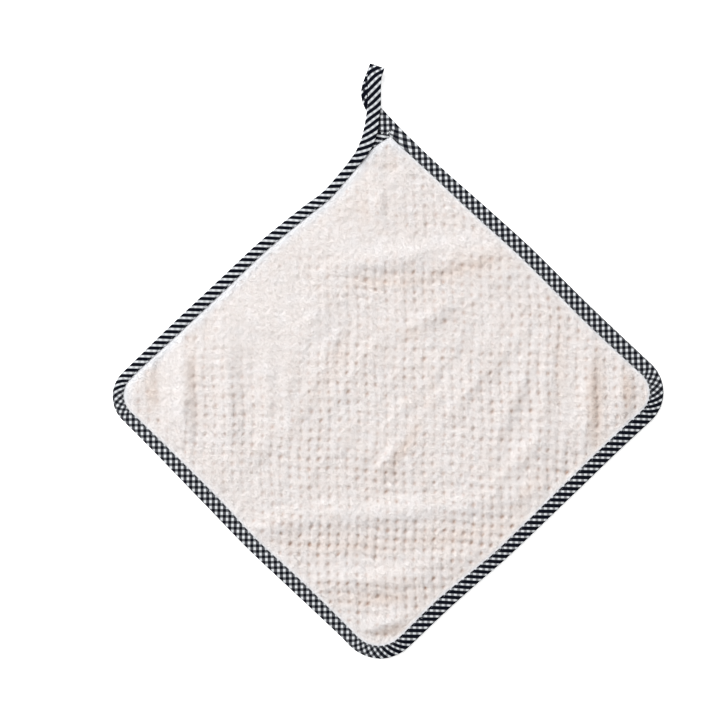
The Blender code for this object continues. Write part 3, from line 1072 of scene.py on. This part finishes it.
def check_group():
    """Node group: woven check of dark and pale yarn on the bias of a tape."""
    tree, start, end = node_group(
        "Bias check",
        "ShaderNodeTree",
        (
            ("Vector", "Vector"),
            ("Dark yarn", "Color"),
            ("Pale yarn", "Color"),
            ("Repeat", "Float"),
            ("Dark share", "Float"),
            ("Dark strength", "Float"),
            ("Cross share", "Float"),
            ("Cross strength", "Float"),
        ),
        (("Colour", "Color"), ("Height", "Float")),
    )
    given = start.outputs
    split = tree_node(tree, "ShaderNodeSeparateXYZ", {0: given["Vector"]})
    along, across = split.outputs[0], split.outputs[1]
    stripes = []
    threads = []
    for operation, share in (("ADD", "Dark share"), ("SUBTRACT", "Cross share")):
        place = math_node(tree, operation, along, across)
        place = math_node(tree, "MULTIPLY", place, math.sqrt(0.5))
        phase = math_node(tree, "DIVIDE", place, given["Repeat"])
        turns = math_node(tree, "MULTIPLY", phase, 2 * math.pi)
        shift = math_node(tree, "MULTIPLY_ADD", given[share], 2 * SHARE_SHIFT, -SHARE_SHIFT)
        wave = math_node(tree, "ADD", math_node(tree, "COSINE", turns), shift)
        edge = tree_node(
            tree,
            "ShaderNodeMapRange",
            {"Value": wave, "From Min": -STRIPE_EDGE, "From Max": STRIPE_EDGE},
            interpolation_type="SMOOTHSTEP",
        )
        stripes.append(edge.outputs["Result"])
        thread = math_node(tree, "MULTIPLY", turns, THREADS_A_REPEAT)
        threads.append(math_node(tree, "SINE", thread))
    cross = math_node(tree, "MULTIPLY", stripes[1], given["Cross strength"])
    over = math_node(tree, "MULTIPLY", threads[0], threads[1])
    main = math_node(tree, "MULTIPLY", stripes[0], given["Dark strength"])
    rest = math_node(tree, "SUBTRACT", 1.0, main)
    dark = math_node(tree, "MULTIPLY_ADD", rest, cross, main)
    both = math_node(tree, "MULTIPLY", stripes[0], stripes[1])
    dark = math_node(tree, "MAXIMUM", dark, both)
    pale = math_node(tree, "SUBTRACT", 1.02, dark)
    weave = math_node(tree, "MULTIPLY", over, THREAD_TONE)
    dark = math_node(tree, "MULTIPLY_ADD", weave, pale, dark)
    dark.node.use_clamp = True
    colour = mix_colour(tree, dark, given["Pale yarn"], given["Dark yarn"])
    tree.links.new(colour, end.inputs["Colour"])
    tree.links.new(over, end.inputs["Height"])
    return tree


def check_material(colours, sizes, check, tone, name):
    """Checked cotton tape, woven of dark and pale yarn."""
    material, tree, shader = new_material(name, 0.9, 0.0, 0.03)
    place = tree_node(tree, "ShaderNodeUVMap", uv_map="tape")
    values = {
        "Vector": place.outputs["UV"],
        "Dark yarn": opaque(colours.dark_yarn),
        "Pale yarn": opaque(colours.pale_yarn),
        "Repeat": sizes.check_repeat,
        "Dark share": attribute_value(tree, "weave_share"),
        "Dark strength": attribute_value(tree, "weave_main"),
        "Cross share": 0.5,
        "Cross strength": attribute_value(tree, "weave_cross"),
    }
    woven = tree_node(tree, "ShaderNodeGroup", values, node_tree=check)
    colour_surface(tree, shader, tone, woven.outputs["Colour"], 0.06, 0.12)
    add_bump(tree, shader, woven.outputs["Height"], 0.06 * MM)
    return material


def thread_material(colours, tone):
    """Dark sewing thread."""
    material, tree, shader = new_material("sewing_thread", 0.6, 0.2)
    colour_surface(tree, shader, tone, opaque(colours.thread), 0.05, 0.15)
    return material


# Binding and loop


def loft(name, sections, places, shares, strips):
    """A closed body through like-numbered section points, with its tape map.

    Places holds where each point lies on the flat tape, in metres. One row of
    places more than of sections means that the last row joins the first. The
    flat layout cuts the body into strips, with its points at shares across each.
    """
    count = len(sections[0])
    rows = len(sections)
    closed = len(places) > rows
    points = [point for section in sections for point in section]
    faces = []
    spots = []
    layout = []
    spans = rows if closed else rows - 1
    strip_rows = math.ceil(spans / strips)
    for row in range(spans):
        there = (row + 1) % rows
        strip = row // strip_rows
        for corner in range(count):
            beside = (corner + 1) % count
            ends = ((row, corner), (row, beside), (there, beside), (there, corner))
            faces.append([r * count + c for r, c in ends])
            columns = ((0, corner), (0, corner + 1), (1, corner + 1), (1, corner))
            spots.append([places[row + step][column] for step, column in columns])
            for step, column in columns:
                u = (row - strip * strip_rows + step) / strip_rows
                v = (strip + STRIP_MARGIN + (1 - 2 * STRIP_MARGIN) * shares[column]) / strips
                layout.append((ROW_MARGIN + (1 - 2 * ROW_MARGIN) * u, STRIPS_TOP * v))
    if not closed:
        for row, middle in zip((0, rows - 1), END_PLACES):
            faces.append([row * count + corner for corner in range(count)])
            spots.append(places[row][:count])
            for corner in range(count):
                turn = 2 * math.pi * corner / count
                u = middle + END_RADIUS * math.cos(turn)
                layout.append((u, END_HEIGHT + END_RADIUS * math.sin(turn)))
    piece = new_piece(name, points, faces)
    layer = piece.data.uv_layers.new(name="tape")
    layer.data.foreach_set("uv", [value for face in spots for uv in face for value in uv])
    keep_layout(piece.data, layout)
    point_outwards(piece)
    piece.data.shade_smooth()
    return piece


TapeSpot = namedtuple("TapeSpot", "share height")
FABRIC = 0.7


def binding_section():
    """The folded tape's channel, as shares of its width and heights in
    millimetres: from the inner hem of the top face outwards, round the fold to
    the hem of the lower face, then back along the inside."""
    top = BINDING_HEIGHT / MM
    return (
        TapeSpot(1.000, top - 0.36),
        TapeSpot(0.992, top - 0.12),
        TapeSpot(0.965, top - 0.02),
        TapeSpot(0.930, top - 0.06),
        TapeSpot(0.890, top - 0.16),
        TapeSpot(0.850, top - 0.05),
        TapeSpot(0.760, top + 0.06),
        TapeSpot(0.620, top + 0.10),
        TapeSpot(0.440, top + 0.10),
        TapeSpot(0.220, top + 0.06),
        TapeSpot(0.090, top - 0.04),
        TapeSpot(0.030, top - 0.30),
        TapeSpot(0.006, top - 0.90),
        TapeSpot(0.000, top / 2),
        TapeSpot(0.010, 1.10),
        TapeSpot(0.050, 0.50),
        TapeSpot(0.130, 0.14),
        TapeSpot(0.300, 0.06),
        TapeSpot(0.850, 0.06),
        TapeSpot(0.890, 0.18),
        TapeSpot(0.930, 0.08),
        TapeSpot(0.985, 0.08),
        TapeSpot(1.000, 0.34),
        TapeSpot(1.000, FABRIC),
        TapeSpot(0.200, FABRIC),
        TapeSpot(0.110, top / 2),
        TapeSpot(0.200, top - FABRIC),
        TapeSpot(1.000, top - FABRIC),
    )


def tape_lengths(section, width, height):
    """How far each point of a closed section lies along its outline."""
    lengths = [0.0]
    for here, there in zip(section, section[1:] + section[:1]):
        step_across = (there.share - here.share) * width
        step_up = (there.height - here.height) * height
        lengths.append(lengths[-1] + math.hypot(step_across, step_up))
    return lengths


def binding_run(side, share):
    """How far along the binding a place on a side is."""
    return sum(side_run(before) for before in range(side)) + share * side_run(side)


def binding_places(side, share):
    """Where a section of the binding lies on the flat tape."""
    _, _, slide, width = edge_station(side, share)
    profile = binding_section()
    run = binding_run(side, share)
    lengths = tape_lengths(profile, width, MM)
    shares = [spot.share for spot in profile + profile[:1]]
    return [(run + slide * part, length) for part, length in zip(shares, lengths)]


def mixed_weave(first, second, share):
    """A weave between two others."""
    return Weave(*(a * (1 - share) + b * share for a, b in zip(first, second)))


def weave_at(side, share):
    """The weave of the tape at a share of a side, eased round rounded corners."""
    before = share < 0.5
    corner = CORNERS[side if before else (side + 1) % len(CORNERS)]
    if corner.radius == 0:
        return WEAVES[side]
    other = (side - 1 if before else side + 1) % len(CORNERS)
    away = min(share, 1 - share) * side_run(side)
    own = 0.5 + 0.5 * float(smooth_step(away / WEAVE_CHANGE))
    return mixed_weave(WEAVES[other], WEAVES[side], own)


def store_weave(mesh, weaves):
    """Keeps the weave of the tape on each vertex."""
    for index, name in enumerate(Weave._fields):
        store_values(mesh, "weave_" + name, [weave[index] for weave in weaves])


def lap_corner(binding):
    """Carries the first side's check over the last side's end at the loop's corner."""
    start, heading, inwards, _ = side_frame(0)
    width = SIDES[0][0].width * MM
    crease_start = Vector(LAP_CREASE[0]) * MM
    crease = Vector(LAP_CREASE[1]) * MM - crease_start
    mesh = binding.data
    layer = mesh.uv_layers["tape"].data
    for face in mesh.polygons:
        spot = face.center.xy
        above = crease.cross(spot - crease_start) < 0
        near = (spot - start).length < LAP_REACH
        short_of = (spot - start).dot(heading) < LAP_END
        if above and near and short_of and face.normal.z > LAP_FACES_UP:
            for corner in face.loop_indices:
                index = mesh.loops[corner].vertex_index
                spot = mesh.vertices[index].co.xy - start
                layer[corner].uv = (spot.dot(heading), width - spot.dot(inwards))
                for value, name in zip(WEAVES[0], Weave._fields):
                    mesh.attributes["weave_" + name].data[index].value = value


def build_binding():
    """The bias binding: a channel swept round the whole edge of the towel."""
    sections = []
    places = []
    weaves = []
    profile = binding_section()
    share = np.array([spot.share for spot in profile])
    raw_height = np.array([spot.height for spot in profile]) * MM
    upper = np.clip(raw_height / BINDING_HEIGHT * 2 - 1, 0, 1) * (share < PUCKER_TO)
    for side in range(len(CORNERS)):
        cells = round(side_run(side) / BINDING_STEP)
        for cell in range(cells):
            place, across, _, _ = edge_station(side, cell / cells)
            x = place.x + across.x * share
            y = place.y + across.y * share
            pucker = soft_noise(x, y, *PUCKER_NOISES) * MM * upper
            height = raw_height + fold_height(x, y) + pucker
            sections.append(list(zip(x, y, height)))
            places.append(binding_places(side, cell / cells))
            weaves += [weave_at(side, cell / cells)] * len(profile)
    places.append(binding_places(len(CORNERS) - 1, 1.0))
    hidden_from = next(index for index, spot in enumerate(profile) if spot.height == FABRIC)
    shares = section_shares(tape_lengths(profile, TAPE_WIDTH, MM), hidden_from)
    binding = loft("binding", sections, places, shares, BINDING_STRIPS)
    store_weave(binding.data, weaves)
    lap_corner(binding)
    return binding


def tape_rows(step):
    """The loop's route read finely from its smooth curve."""
    rows = []
    ends = (TAPE_ROUTE[0],) + TAPE_ROUTE + (TAPE_ROUTE[-1],)
    for index in range(1, len(ends) - 2):
        window = ends[index - 1 : index + 3]
        reach = Vector(window[2][:3]) - Vector(window[1][:3])
        steps = max(1, round(reach.length * MM / step))
        for part in range(steps):
            values = [spline(*column, part / steps) for column in zip(*window)]
            rows.append(TapePoint(*values))
    rows.append(TAPE_ROUTE[-1])
    return rows


def tape_section():
    """The folded tape's outline, as shares of its width and its thickness.
    Its open edge is a shallow groove."""
    return (
        TapeSpot(-0.500, 0.00),
        TapeSpot(-0.492, 0.30),
        TapeSpot(-0.465, 0.46),
        TapeSpot(-0.400, 0.50),
        TapeSpot(-0.200, 0.52),
        TapeSpot(0.000, 0.53),
        TapeSpot(0.200, 0.52),
        TapeSpot(0.350, 0.49),
        TapeSpot(0.390, 0.42),
        TapeSpot(0.430, 0.47),
        TapeSpot(0.480, 0.44),
        TapeSpot(0.500, 0.28),
        TapeSpot(0.496, 0.06),
        TapeSpot(0.470, 0.00),
        TapeSpot(0.496, -0.06),
        TapeSpot(0.500, -0.28),
        TapeSpot(0.480, -0.44),
        TapeSpot(0.430, -0.47),
        TapeSpot(0.390, -0.42),
        TapeSpot(0.350, -0.49),
        TapeSpot(0.000, -0.52),
        TapeSpot(-0.400, -0.50),
        TapeSpot(-0.465, -0.46),
        TapeSpot(-0.492, -0.30),
    )


def place_on_strip(x, y):
    """Where a place above the last side's binding lies on the flat tape."""
    side = len(CORNERS) - 1
    target = Vector((x, y))
    nearest = None
    for step in range(STRIP_TRIES):
        share = step / STRIP_TRIES
        place, across, slide, width = edge_station(side, share)
        part = (target - place).dot(across) / across.length_squared
        away = (target - place - across * part).length
        if nearest is None or away < nearest[0]:
            run = binding_run(side, share) + slide * part
            nearest = (away, run, (1 - part) * width)
    return nearest[1:]


def build_loop():
    """The hanging loop: flat tape turned back under itself."""
    rows = tape_rows(LOOP_STEP)
    centres = [Vector((row.x, row.y, row.z)) * MM for row in rows]
    profile = tape_section()
    run, middle = place_on_strip(centres[0].x, centres[0].y)
    sections = []
    places = []
    weaves = []
    for index, (row, centre) in enumerate(zip(rows, centres)):
        ahead = centres[min(index + 1, len(centres) - 1)]
        behind = centres[max(index - 1, 0)]
        heading = (ahead - behind).normalized()
        lean = math.radians(row.lean)
        wide = Vector((math.cos(lean), math.sin(lean), 0))
        wide = (wide - heading * wide.dot(heading)).normalized()
        thick = wide.cross(heading)
        section = []
        for spot in profile:
            side_shift = wide * row.width * MM * spot.share
            point = centre + side_shift + thick * row.thick * MM * spot.height
            point.z = max(point.z, LOOP_LOWEST)
            section.append(tuple(point))
        sections.append(section)
        outer = middle + row.width * MM / 2
        lengths = tape_lengths(profile, row.width * MM, row.thick * MM)
        places.append([(run, outer - length) for length in lengths])
        # Past the turn the back strand gets the darker weave as painted shade
        turned = smooth_step((index / len(rows) - LOOP_TURN) * LOOP_TURN_RATE)
        weave = mixed_weave(WEAVES[-1], LOOP_BACK_SHADE_WEAVE, turned)
        weaves += [weave] * len(profile)
        run += (ahead - centre).length
    shares = section_shares(tape_lengths(profile, TAPE_WIDTH, LOOP_TAPE_THICK))
    loop = loft("loop_tape", sections, places, shares, LOOP_STRIPS)
    store_weave(loop.data, weaves)
    return loop


# Geometry Nodes trees


def vector_math(tree, operation, first, second):
    """A Vector Math node, with its second input a vector, or a scale; returns its
    output."""
    key = "Scale" if operation == "SCALE" else 1
    values = {0: first, key: second}
    return tree_node(tree, "ShaderNodeVectorMath", values, operation=operation).outputs[0]


def random_value(tree, lowest, highest, seed):
    """A random number or vector for each point; returns the socket."""
    vector = isinstance(lowest, tuple)
    first = 0 if vector else 2
    node = tree_node(
        tree,
        "FunctionNodeRandomValue",
        {first: lowest, first + 1: highest, "Seed": seed},
        data_type="FLOAT_VECTOR" if vector else "FLOAT",
    )
    return node.outputs[0 if vector else 1]


def place_copies(tree, start, end, points, copy, rotation, size):
    """Ends a tree in copies on points, as plain mesh with its material."""
    placed = tree_node(
        tree,
        "GeometryNodeInstanceOnPoints",
        {
            "Points": points,
            "Instance": copy,
            "Rotation": rotation,
            "Scale": tree_node(tree, "ShaderNodeCombineXYZ", size).outputs[0],
        },
    )
    real = tree_node(tree, "GeometryNodeRealizeInstances", {0: placed.outputs[0]})
    values = {"Geometry": real.outputs[0], "Material": start.outputs["Material"]}
    dressed = tree_node(tree, "GeometryNodeSetMaterial", values)
    tree.links.new(dressed.outputs[0], end.inputs[0])


def stitch_tree():
    """Geometry Nodes tree: stitches lying end to end along a line."""
    tree, start, end = node_group(
        "Stitches",
        "GeometryNodeTree",
        (
            ("Geometry", "Geometry"),
            ("Pitch", "Float"),
            ("Length", "Float"),
            ("Thickness", "Float"),
            ("Material", "Material"),
        ),
        (("Geometry", "Geometry"),),
    )
    given = start.outputs
    path = tree_node(tree, "GeometryNodeMeshToCurve", {"Mesh": given["Geometry"]})
    points = tree_node(
        tree,
        "GeometryNodeCurveToPoints",
        {"Curve": path.outputs[0], "Length": given["Pitch"]},
        mode="LENGTH",
    )
    stitch = tree_node(
        tree, "GeometryNodeMeshUVSphere", {"Segments": 6, "Rings": 5, "Radius": 0.5}
    )
    aligned = tree_node(
        tree,
        "FunctionNodeAlignRotationToVector",
        {"Vector": points.outputs["Tangent"]},
        axis="Z",
    )
    size = {"X": given["Thickness"], "Y": given["Thickness"], "Z": given["Length"]}
    places = points.outputs["Points"]
    place_copies(tree, start, end, places, stitch.outputs[0], aligned.outputs[0], size)
    return tree


def pile_tree():
    """Geometry Nodes tree: short locks of pile standing on the fleece."""
    tree, start, end = node_group(
        "Fleece pile",
        "GeometryNodeTree",
        (
            ("Geometry", "Geometry"),
            ("Cover", "String"),
            ("Density", "Float"),
            ("Length", "Float"),
            ("Width", "Float"),
            ("Lean", "Float"),
            ("Seed", "Int"),
            ("Material", "Material"),
        ),
        (("Geometry", "Geometry"),),
    )
    given = start.outputs
    seed = given["Seed"]
    cover = tree_node(
        tree, "GeometryNodeInputNamedAttribute", {"Name": given["Cover"]}, data_type="FLOAT"
    )
    density = math_node(tree, "MULTIPLY", cover.outputs["Attribute"], given["Density"])
    scattered = tree_node(
        tree,
        "GeometryNodeDistributePointsOnFaces",
        {"Mesh": given["Geometry"], "Density": density, "Seed": seed},
        distribute_method="RANDOM",
    )
    normal = scattered.outputs["Normal"]
    lock = tree_node(
        tree, "GeometryNodeMeshCircle", {"Vertices": 3, "Radius": 1.0}, fill_type="NGON"
    )
    stood = tree_node(
        tree,
        "GeometryNodeTransform",
        {
            "Geometry": lock.outputs[0],
            "Translation": (0.0, 0.0, 1 / 3),
            "Rotation": (0.0, -math.pi / 2, 0.0),
            "Scale": (2 / 3, 1 / math.sqrt(3), 1.0),
        },
    )
    flow = tree_node(tree, "ShaderNodeTexNoise", {"Scale": FLOW_SCALE, "Detail": 2.0})
    flow_way = vector_math(tree, "SUBTRACT", flow.outputs["Color"], (0.5, 0.5, 0.5))
    flow_lean = vector_math(tree, "SCALE", flow_way, FLOW_LEAN)
    stray = random_value(tree, tuple(-reach for reach in STRAY_LEAN), STRAY_LEAN, seed)
    lean = vector_math(tree, "ADD", flow_lean, stray)
    lean = vector_math(tree, "SCALE", lean, given["Lean"])
    way = vector_math(tree, "ADD", lean, normal)
    aligned = tree_node(tree, "FunctionNodeAlignRotationToVector", {"Vector": way}, axis="Z")
    faced = tree_node(
        tree,
        "FunctionNodeAlignRotationToVector",
        {"Rotation": aligned.outputs[0], "Vector": normal},
        axis="X",
        pivot_axis="Z",
    )
    spin = random_value(tree, -LOCK_SPIN, LOCK_SPIN, seed)
    about = tree_node(tree, "ShaderNodeCombineXYZ", {"Z": spin})
    euler = tree_node(tree, "FunctionNodeEulerToRotation", {0: about.outputs[0]})
    turned = tree_node(
        tree,
        "FunctionNodeRotateRotation",
        {"Rotation": faced.outputs[0], "Rotate By": euler.outputs[0]},
        rotation_space="LOCAL",
    )
    length_share = random_value(tree, SHORTEST_LOCK, 1.0, seed)
    length = math_node(tree, "MULTIPLY", length_share, given["Length"])
    size = {"X": given["Width"], "Y": given["Width"], "Z": length}
    places = scattered.outputs["Points"]
    place_copies(tree, start, end, places, stood.outputs[0], turned.outputs[0], size)
    return tree


def grown_piece(name, source, tree, values):
    """A plain mesh object from a Geometry Nodes tree run on a copy of a source."""
    carrier = place_object(name + "_carrier", source.data)
    modifier = carrier.modifiers.new("Nodes", "NODES")
    modifier.node_group = tree
    for item in tree.interface.items_tree:
        if item.item_type == "SOCKET" and item.in_out == "INPUT" and item.name in values:
            modifier[item.identifier] = values[item.name]
    graph = bpy.context.evaluated_depsgraph_get()
    mesh = bpy.data.meshes.new_from_object(carrier.evaluated_get(graph), depsgraph=graph)
    mesh.name = name
    bpy.data.objects.remove(carrier)
    return place_object(name, mesh)


def lock_values(pile, name):
    """A value that each lock of pile took from the fleece."""
    attribute = pile.data.attributes[name]
    if attribute.data_type == "FLOAT_VECTOR":
        values = np.empty(len(attribute.data) * 3, np.float32)
        attribute.data.foreach_get("vector", values)
        return values.reshape(-1, 3, 3)[:, 0]
    values = np.empty(len(attribute.data), np.float32)
    attribute.data.foreach_get("value", values)
    return values.reshape(-1, 3)[:, 0]


def comb_pile(pile, sizes):
    """Shortens the locks in the hollows, combs those at the hem over the binding
    and keeps what their material needs."""
    spots = np.empty(len(pile.data.vertices) * 3, np.float32)
    pile.data.vertices.foreach_get("co", spots)
    locks = spots.reshape(-1, 3, 3)
    root = locks[:, 1:].mean(1)
    x = root[:, 0]
    y = root[:, 1]
    clear = lock_values(pile, "clear")
    hollow, groove, _ = grid_hollows(x, y, sizes)
    hollow = hollow * clear
    groove = groove * clear
    clump = soft_noise(x, y, CLUMP_NOISE)
    shorter = 1 - HOLLOW_CROPS * np.clip(hollow, 0, 1) - GROOVE_CROPS * groove
    shorter = shorter * (1 + CLUMP_CROPS * clump)
    locks[:, 0] = root + (locks[:, 0] - root) * shorter[:, None]
    fringe = 1 - smooth_step(lock_values(pile, "inside") / COMBED_OVER)
    reach = fringe * (1 + soft_noise(x, y, TUFT_NOISE)) * FRINGE_REACH
    locks[:, 0] += lock_values(pile, "outwards") * reach[:, None]
    pile.data.vertices.foreach_set("co", locks.ravel())
    # Painted shade of the hollows and grooves, kept as the locks' hollow value
    shade = np.clip(HOLLOW_SHADE * hollow + GROOVE_SHADE * groove, 0, 1)
    store_values(pile.data, "hollow", np.repeat(shade, 3))
    tone = np.random.default_rng(LOCK_SEED).uniform(-1, 1, len(root)) + CLUMP_TONE * clump
    store_values(pile.data, "lock_tone", np.repeat(tone, 3))
    places = square_places(x, y)[:, None] + np.array(LOCK_LAYOUT)
    keep_layout(pile.data, places.reshape(-1, 2)[corner_vertices(pile.data)])
    pile.data.update()


def seam_line(name, rings):
    """Closed lines of points that the stitches follow."""
    points = []
    edges = []
    for ring in rings:
        first = len(points)
        points += ring
        count = len(ring)
        edges += [(first + i, first + (i + 1) % count) for i in range(count)]
    mesh = bpy.data.meshes.new(name)
    mesh.from_pydata(points, edges, [])
    return place_object(name, mesh)


# Operators


class TOWEL_OT_materials(bpy.types.Operator):
    """Make the fleece, checked tape and thread materials"""

    bl_idname = "towel.materials"
    bl_label = "Towel materials"

    def execute(self, context):
        sizes = context.scene.towel_sizes
        colours = context.scene.towel_colours
        tone = tone_group()
        check = check_group()
        # The ground under the pile is made 8% darker than the pile, as painted shade under the
        # pile
        fleece_material(colours, tone, "fleece_ground", 0.92)
        fleece_material(colours, tone, "fleece_pile", 1.0)
        check_material(colours, sizes, check, tone, "checked_binding")
        check_material(colours, sizes, check, tone, "checked_loop")
        thread_material(colours, tone)
        return {"FINISHED"}


class TOWEL_OT_fleece(bpy.types.Operator):
    """Make the fleece panel with its grid of hollows and soft folds"""

    bl_idname = "towel.fleece"
    bl_label = "Fleece panel"

    def execute(self, context):
        layers = fleece_layers(context.scene.towel_sizes)
        count = len(layers.x)
        upper = np.stack([layers.x, layers.y, layers.top], 1)
        lower = np.stack([layers.x, layers.y, layers.bottom], 1)
        face = grid_faces(FLEECE_CELLS, 0, False)
        back = grid_faces(FLEECE_CELLS, count, True)
        rim = rim_order(FLEECE_CELLS)
        after = np.roll(rim, -1)
        edge = np.stack([rim, after, after + count, rim + count], 1)
        points = np.concatenate([upper, lower])
        fleece = new_piece("fleece", points, np.concatenate([face, back, edge]).tolist())
        point_outwards(fleece)
        fleece.data.shade_smooth()
        # The first three values carry painted shade in the hollows and valleys and painted
        # highlight to the material
        for name in ("hollow", "warm", "pale", "clear", "inside"):
            store_values(fleece.data, name, np.tile(getattr(layers, name), 2))
        cover = smooth_step((layers.inside + COVER_FROM) / COVER_OVER)
        none = np.zeros(count)
        store_values(fleece.data, "face_pile", np.concatenate([cover, none]))
        store_values(fleece.data, "back_pile", np.concatenate([none, cover]))
        ways = fleece.data.attributes.new("outwards", "FLOAT_VECTOR", "POINT")
        ways.data.foreach_set("vector", np.tile(layers.outwards, (2, 1)).ravel())
        fleece.data.materials.append(bpy.data.materials["fleece_ground"])
        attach(fleece, "root")
        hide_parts("towel_cloth")
        return {"FINISHED"}


class TOWEL_OT_pile(bpy.types.Operator):
    """Grow the fleece's short pile on both faces"""

    bl_idname = "towel.pile"
    bl_label = "Fleece pile"

    def execute(self, context):
        sizes = context.scene.towel_sizes
        fleece = bpy.data.objects["fleece"]
        tree = pile_tree()
        for name, cover, seed, density, length in (
            ("pile_face_long", "face_pile", 4, FACE_DENSITY, sizes.pile_length),
            ("pile_face_short", "face_pile", 9, FACE_DENSITY, sizes.pile_length * SHORT_COAT),
            ("pile_back", "back_pile", 14, BACK_DENSITY, sizes.back_pile_length),
        ):
            values = {
                "Cover": cover,
                "Density": density,
                "Length": length,
                "Width": sizes.pile_width,
                "Lean": PILE_LEAN,
                "Seed": seed,
                "Material": bpy.data.materials["fleece_pile"],
            }
            pile = grown_piece(name, fleece, tree, values)
            comb_pile(pile, sizes)
            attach(pile, "root")
        return {"FINISHED"}


class TOWEL_OT_binding(bpy.types.Operator):
    """Fold the checked binding over the whole edge"""

    bl_idname = "towel.binding"
    bl_label = "Edge binding"

    def execute(self, context):
        binding = build_binding()
        binding.data.materials.append(bpy.data.materials["checked_binding"])
        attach(binding, "root")
        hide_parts("edge_binding")
        return {"FINISHED"}


class TOWEL_OT_loop(bpy.types.Operator):
    """Turn the end of the tape back as a hanging loop"""

    bl_idname = "towel.loop"
    bl_label = "Hanging loop"

    def execute(self, context):
        loop = build_loop()
        loop.data.materials.append(bpy.data.materials["checked_loop"])
        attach(loop, "root")
        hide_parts("hanging_loop")
        return {"FINISHED"}


class TOWEL_OT_stitches(bpy.types.Operator):
    """Sew the binding down along its inner edge on both faces"""

    bl_idname = "towel.stitches"
    bl_label = "Seam stitches"

    def execute(self, context):
        sizes = context.scene.towel_sizes
        ring = edge_ring(SEAM_CELLS, 1.0, -sizes.stitch_inset)
        lift = fold_height(ring[:, 0], ring[:, 1])
        rings = [
            [(x, y, z) for (x, y), z in zip(ring, lift + height)]
            for height in (BINDING_HEIGHT - STITCH_SUNK, STITCH_BELOW)
        ]
        line = seam_line("seam_line", rings)
        values = {
            "Pitch": sizes.stitch_pitch,
            "Length": sizes.stitch_pitch * STITCH_SHARE,
            "Thickness": STITCH_THICK,
            "Material": bpy.data.materials["sewing_thread"],
        }
        stitches = grown_piece("seam_stitches", line, stitch_tree(), values)
        bpy.data.objects.remove(line)
        stitches.data.shade_smooth()
        x, y, z = np.array([vertex.co for vertex in stitches.data.vertices]).T
        places = square_places(x + STITCH_SPREAD[0] * z, y + STITCH_SPREAD[1] * z)
        keep_layout(stitches.data, places[corner_vertices(stitches.data)])
        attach(stitches, "root")
        return {"FINISHED"}


class TOWEL_OT_stage(bpy.types.Operator):
    """Lay the floor and set up the lights and camera"""

    bl_idname = "towel.stage"
    bl_label = "Stage"

    def execute(self, context):
        scene = context.scene
        reach = FLOOR_REACH
        corners = ((-reach, -reach, 0), (reach, -reach, 0), (reach, reach, 0), (-reach, reach, 0))
        floor = new_piece("floor", corners, [(0, 1, 2, 3)])
        material, _, shader = new_material("floor_paper", 1.0, 0.0, 0.0)
        shader.inputs["Base Color"].default_value = opaque(scene.towel_colours.floor)
        shader.inputs["Emission Color"].default_value = (1, 1, 1, 1)
        shader.inputs["Emission Strength"].default_value = FLOOR_GLOW
        floor.data.materials.append(material)
        world = bpy.data.worlds.new("soft_room")
        world.use_nodes = True
        background = world.node_tree.nodes["Background"]
        background.inputs["Color"].default_value = (1, 1, 1, 1)
        background.inputs["Strength"].default_value = ROOM_LIGHT
        scene.world = world
        key = bpy.data.lights.new("key", "AREA")
        key.shape = "DISK"
        key.size = 2 * KEY_DISTANCE * math.tan(KEY_SPREAD / 2)
        key.energy = KEY_BRIGHTNESS * math.pi * KEY_DISTANCE**2
        lamp = place_object("key", key)
        way = Vector(KEY_HEADING).normalized()
        lamp.location = -way * KEY_DISTANCE
        lamp.rotation_euler = way.to_track_quat("-Z", "Y").to_euler()
        lamp.visible_camera = False
        camera = bpy.data.cameras.new("camera")
        camera.lens = LENS
        camera.sensor_width = SENSOR_WIDTH
        camera.clip_end = SIGHT_LIMIT
        eye = place_object("camera", camera)
        distance = VIEW_WIDTH * LENS / SENSOR_WIDTH
        eye.location = (*CAMERA_AIM, FOCUS_PLANE_Z + distance)
        scene.camera = eye
        scene.view_settings.view_transform = "Standard"
        return {"FINISHED"}


class TOWEL_OT_declare(bpy.types.Operator):
    """A step that does nothing; the cut size and what is sewn to it are not stated"""

    bl_idname = "towel.declare"
    bl_label = "Cut size"

    def execute(self, context):
        return {"FINISHED"}


class TOWEL_PT_panel(bpy.types.Panel):
    """Lists the towel's pieces in the sidebar"""

    bl_label = "Hand Towel"
    bl_idname = "TOWEL_PT_panel"
    bl_space_type = "VIEW_3D"
    bl_region_type = "UI"
    bl_category = "Hand Towel"

    def draw(self, context):
        layout = self.layout
        for group in (context.scene.towel_sizes, context.scene.towel_colours):
            for name in group.__annotations__:
                layout.prop(group, name)
        for operator in OPERATORS:
            layout.operator(operator.bl_idname)


OPERATORS = (
    TOWEL_OT_stage,
    TOWEL_OT_materials,
    TOWEL_OT_fleece,
    TOWEL_OT_pile,
    TOWEL_OT_binding,
    TOWEL_OT_loop,
    TOWEL_OT_stitches,
    TOWEL_OT_declare,
)
CLASSES = (TowelSizes, TowelColours, *OPERATORS, TOWEL_PT_panel)


def register():
    for cls in CLASSES:
        bpy.utils.register_class(cls)
    bpy.types.Scene.towel_sizes = bpy.props.PointerProperty(type=TowelSizes)
    bpy.types.Scene.towel_colours = bpy.props.PointerProperty(type=TowelColours)


def unregister():
    del bpy.types.Scene.towel_colours
    del bpy.types.Scene.towel_sizes
    for cls in reversed(CLASSES):
        bpy.utils.unregister_class(cls)


def main():
    register()
    bpy.ops.towel.stage()
    bpy.ops.towel.materials()
    bpy.ops.towel.fleece()
    bpy.ops.towel.pile()
    bpy.ops.towel.binding()
    bpy.ops.towel.loop()
    bpy.ops.towel.stitches()
    bpy.ops.towel.declare()
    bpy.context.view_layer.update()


if __name__ == "__main__":
    main()
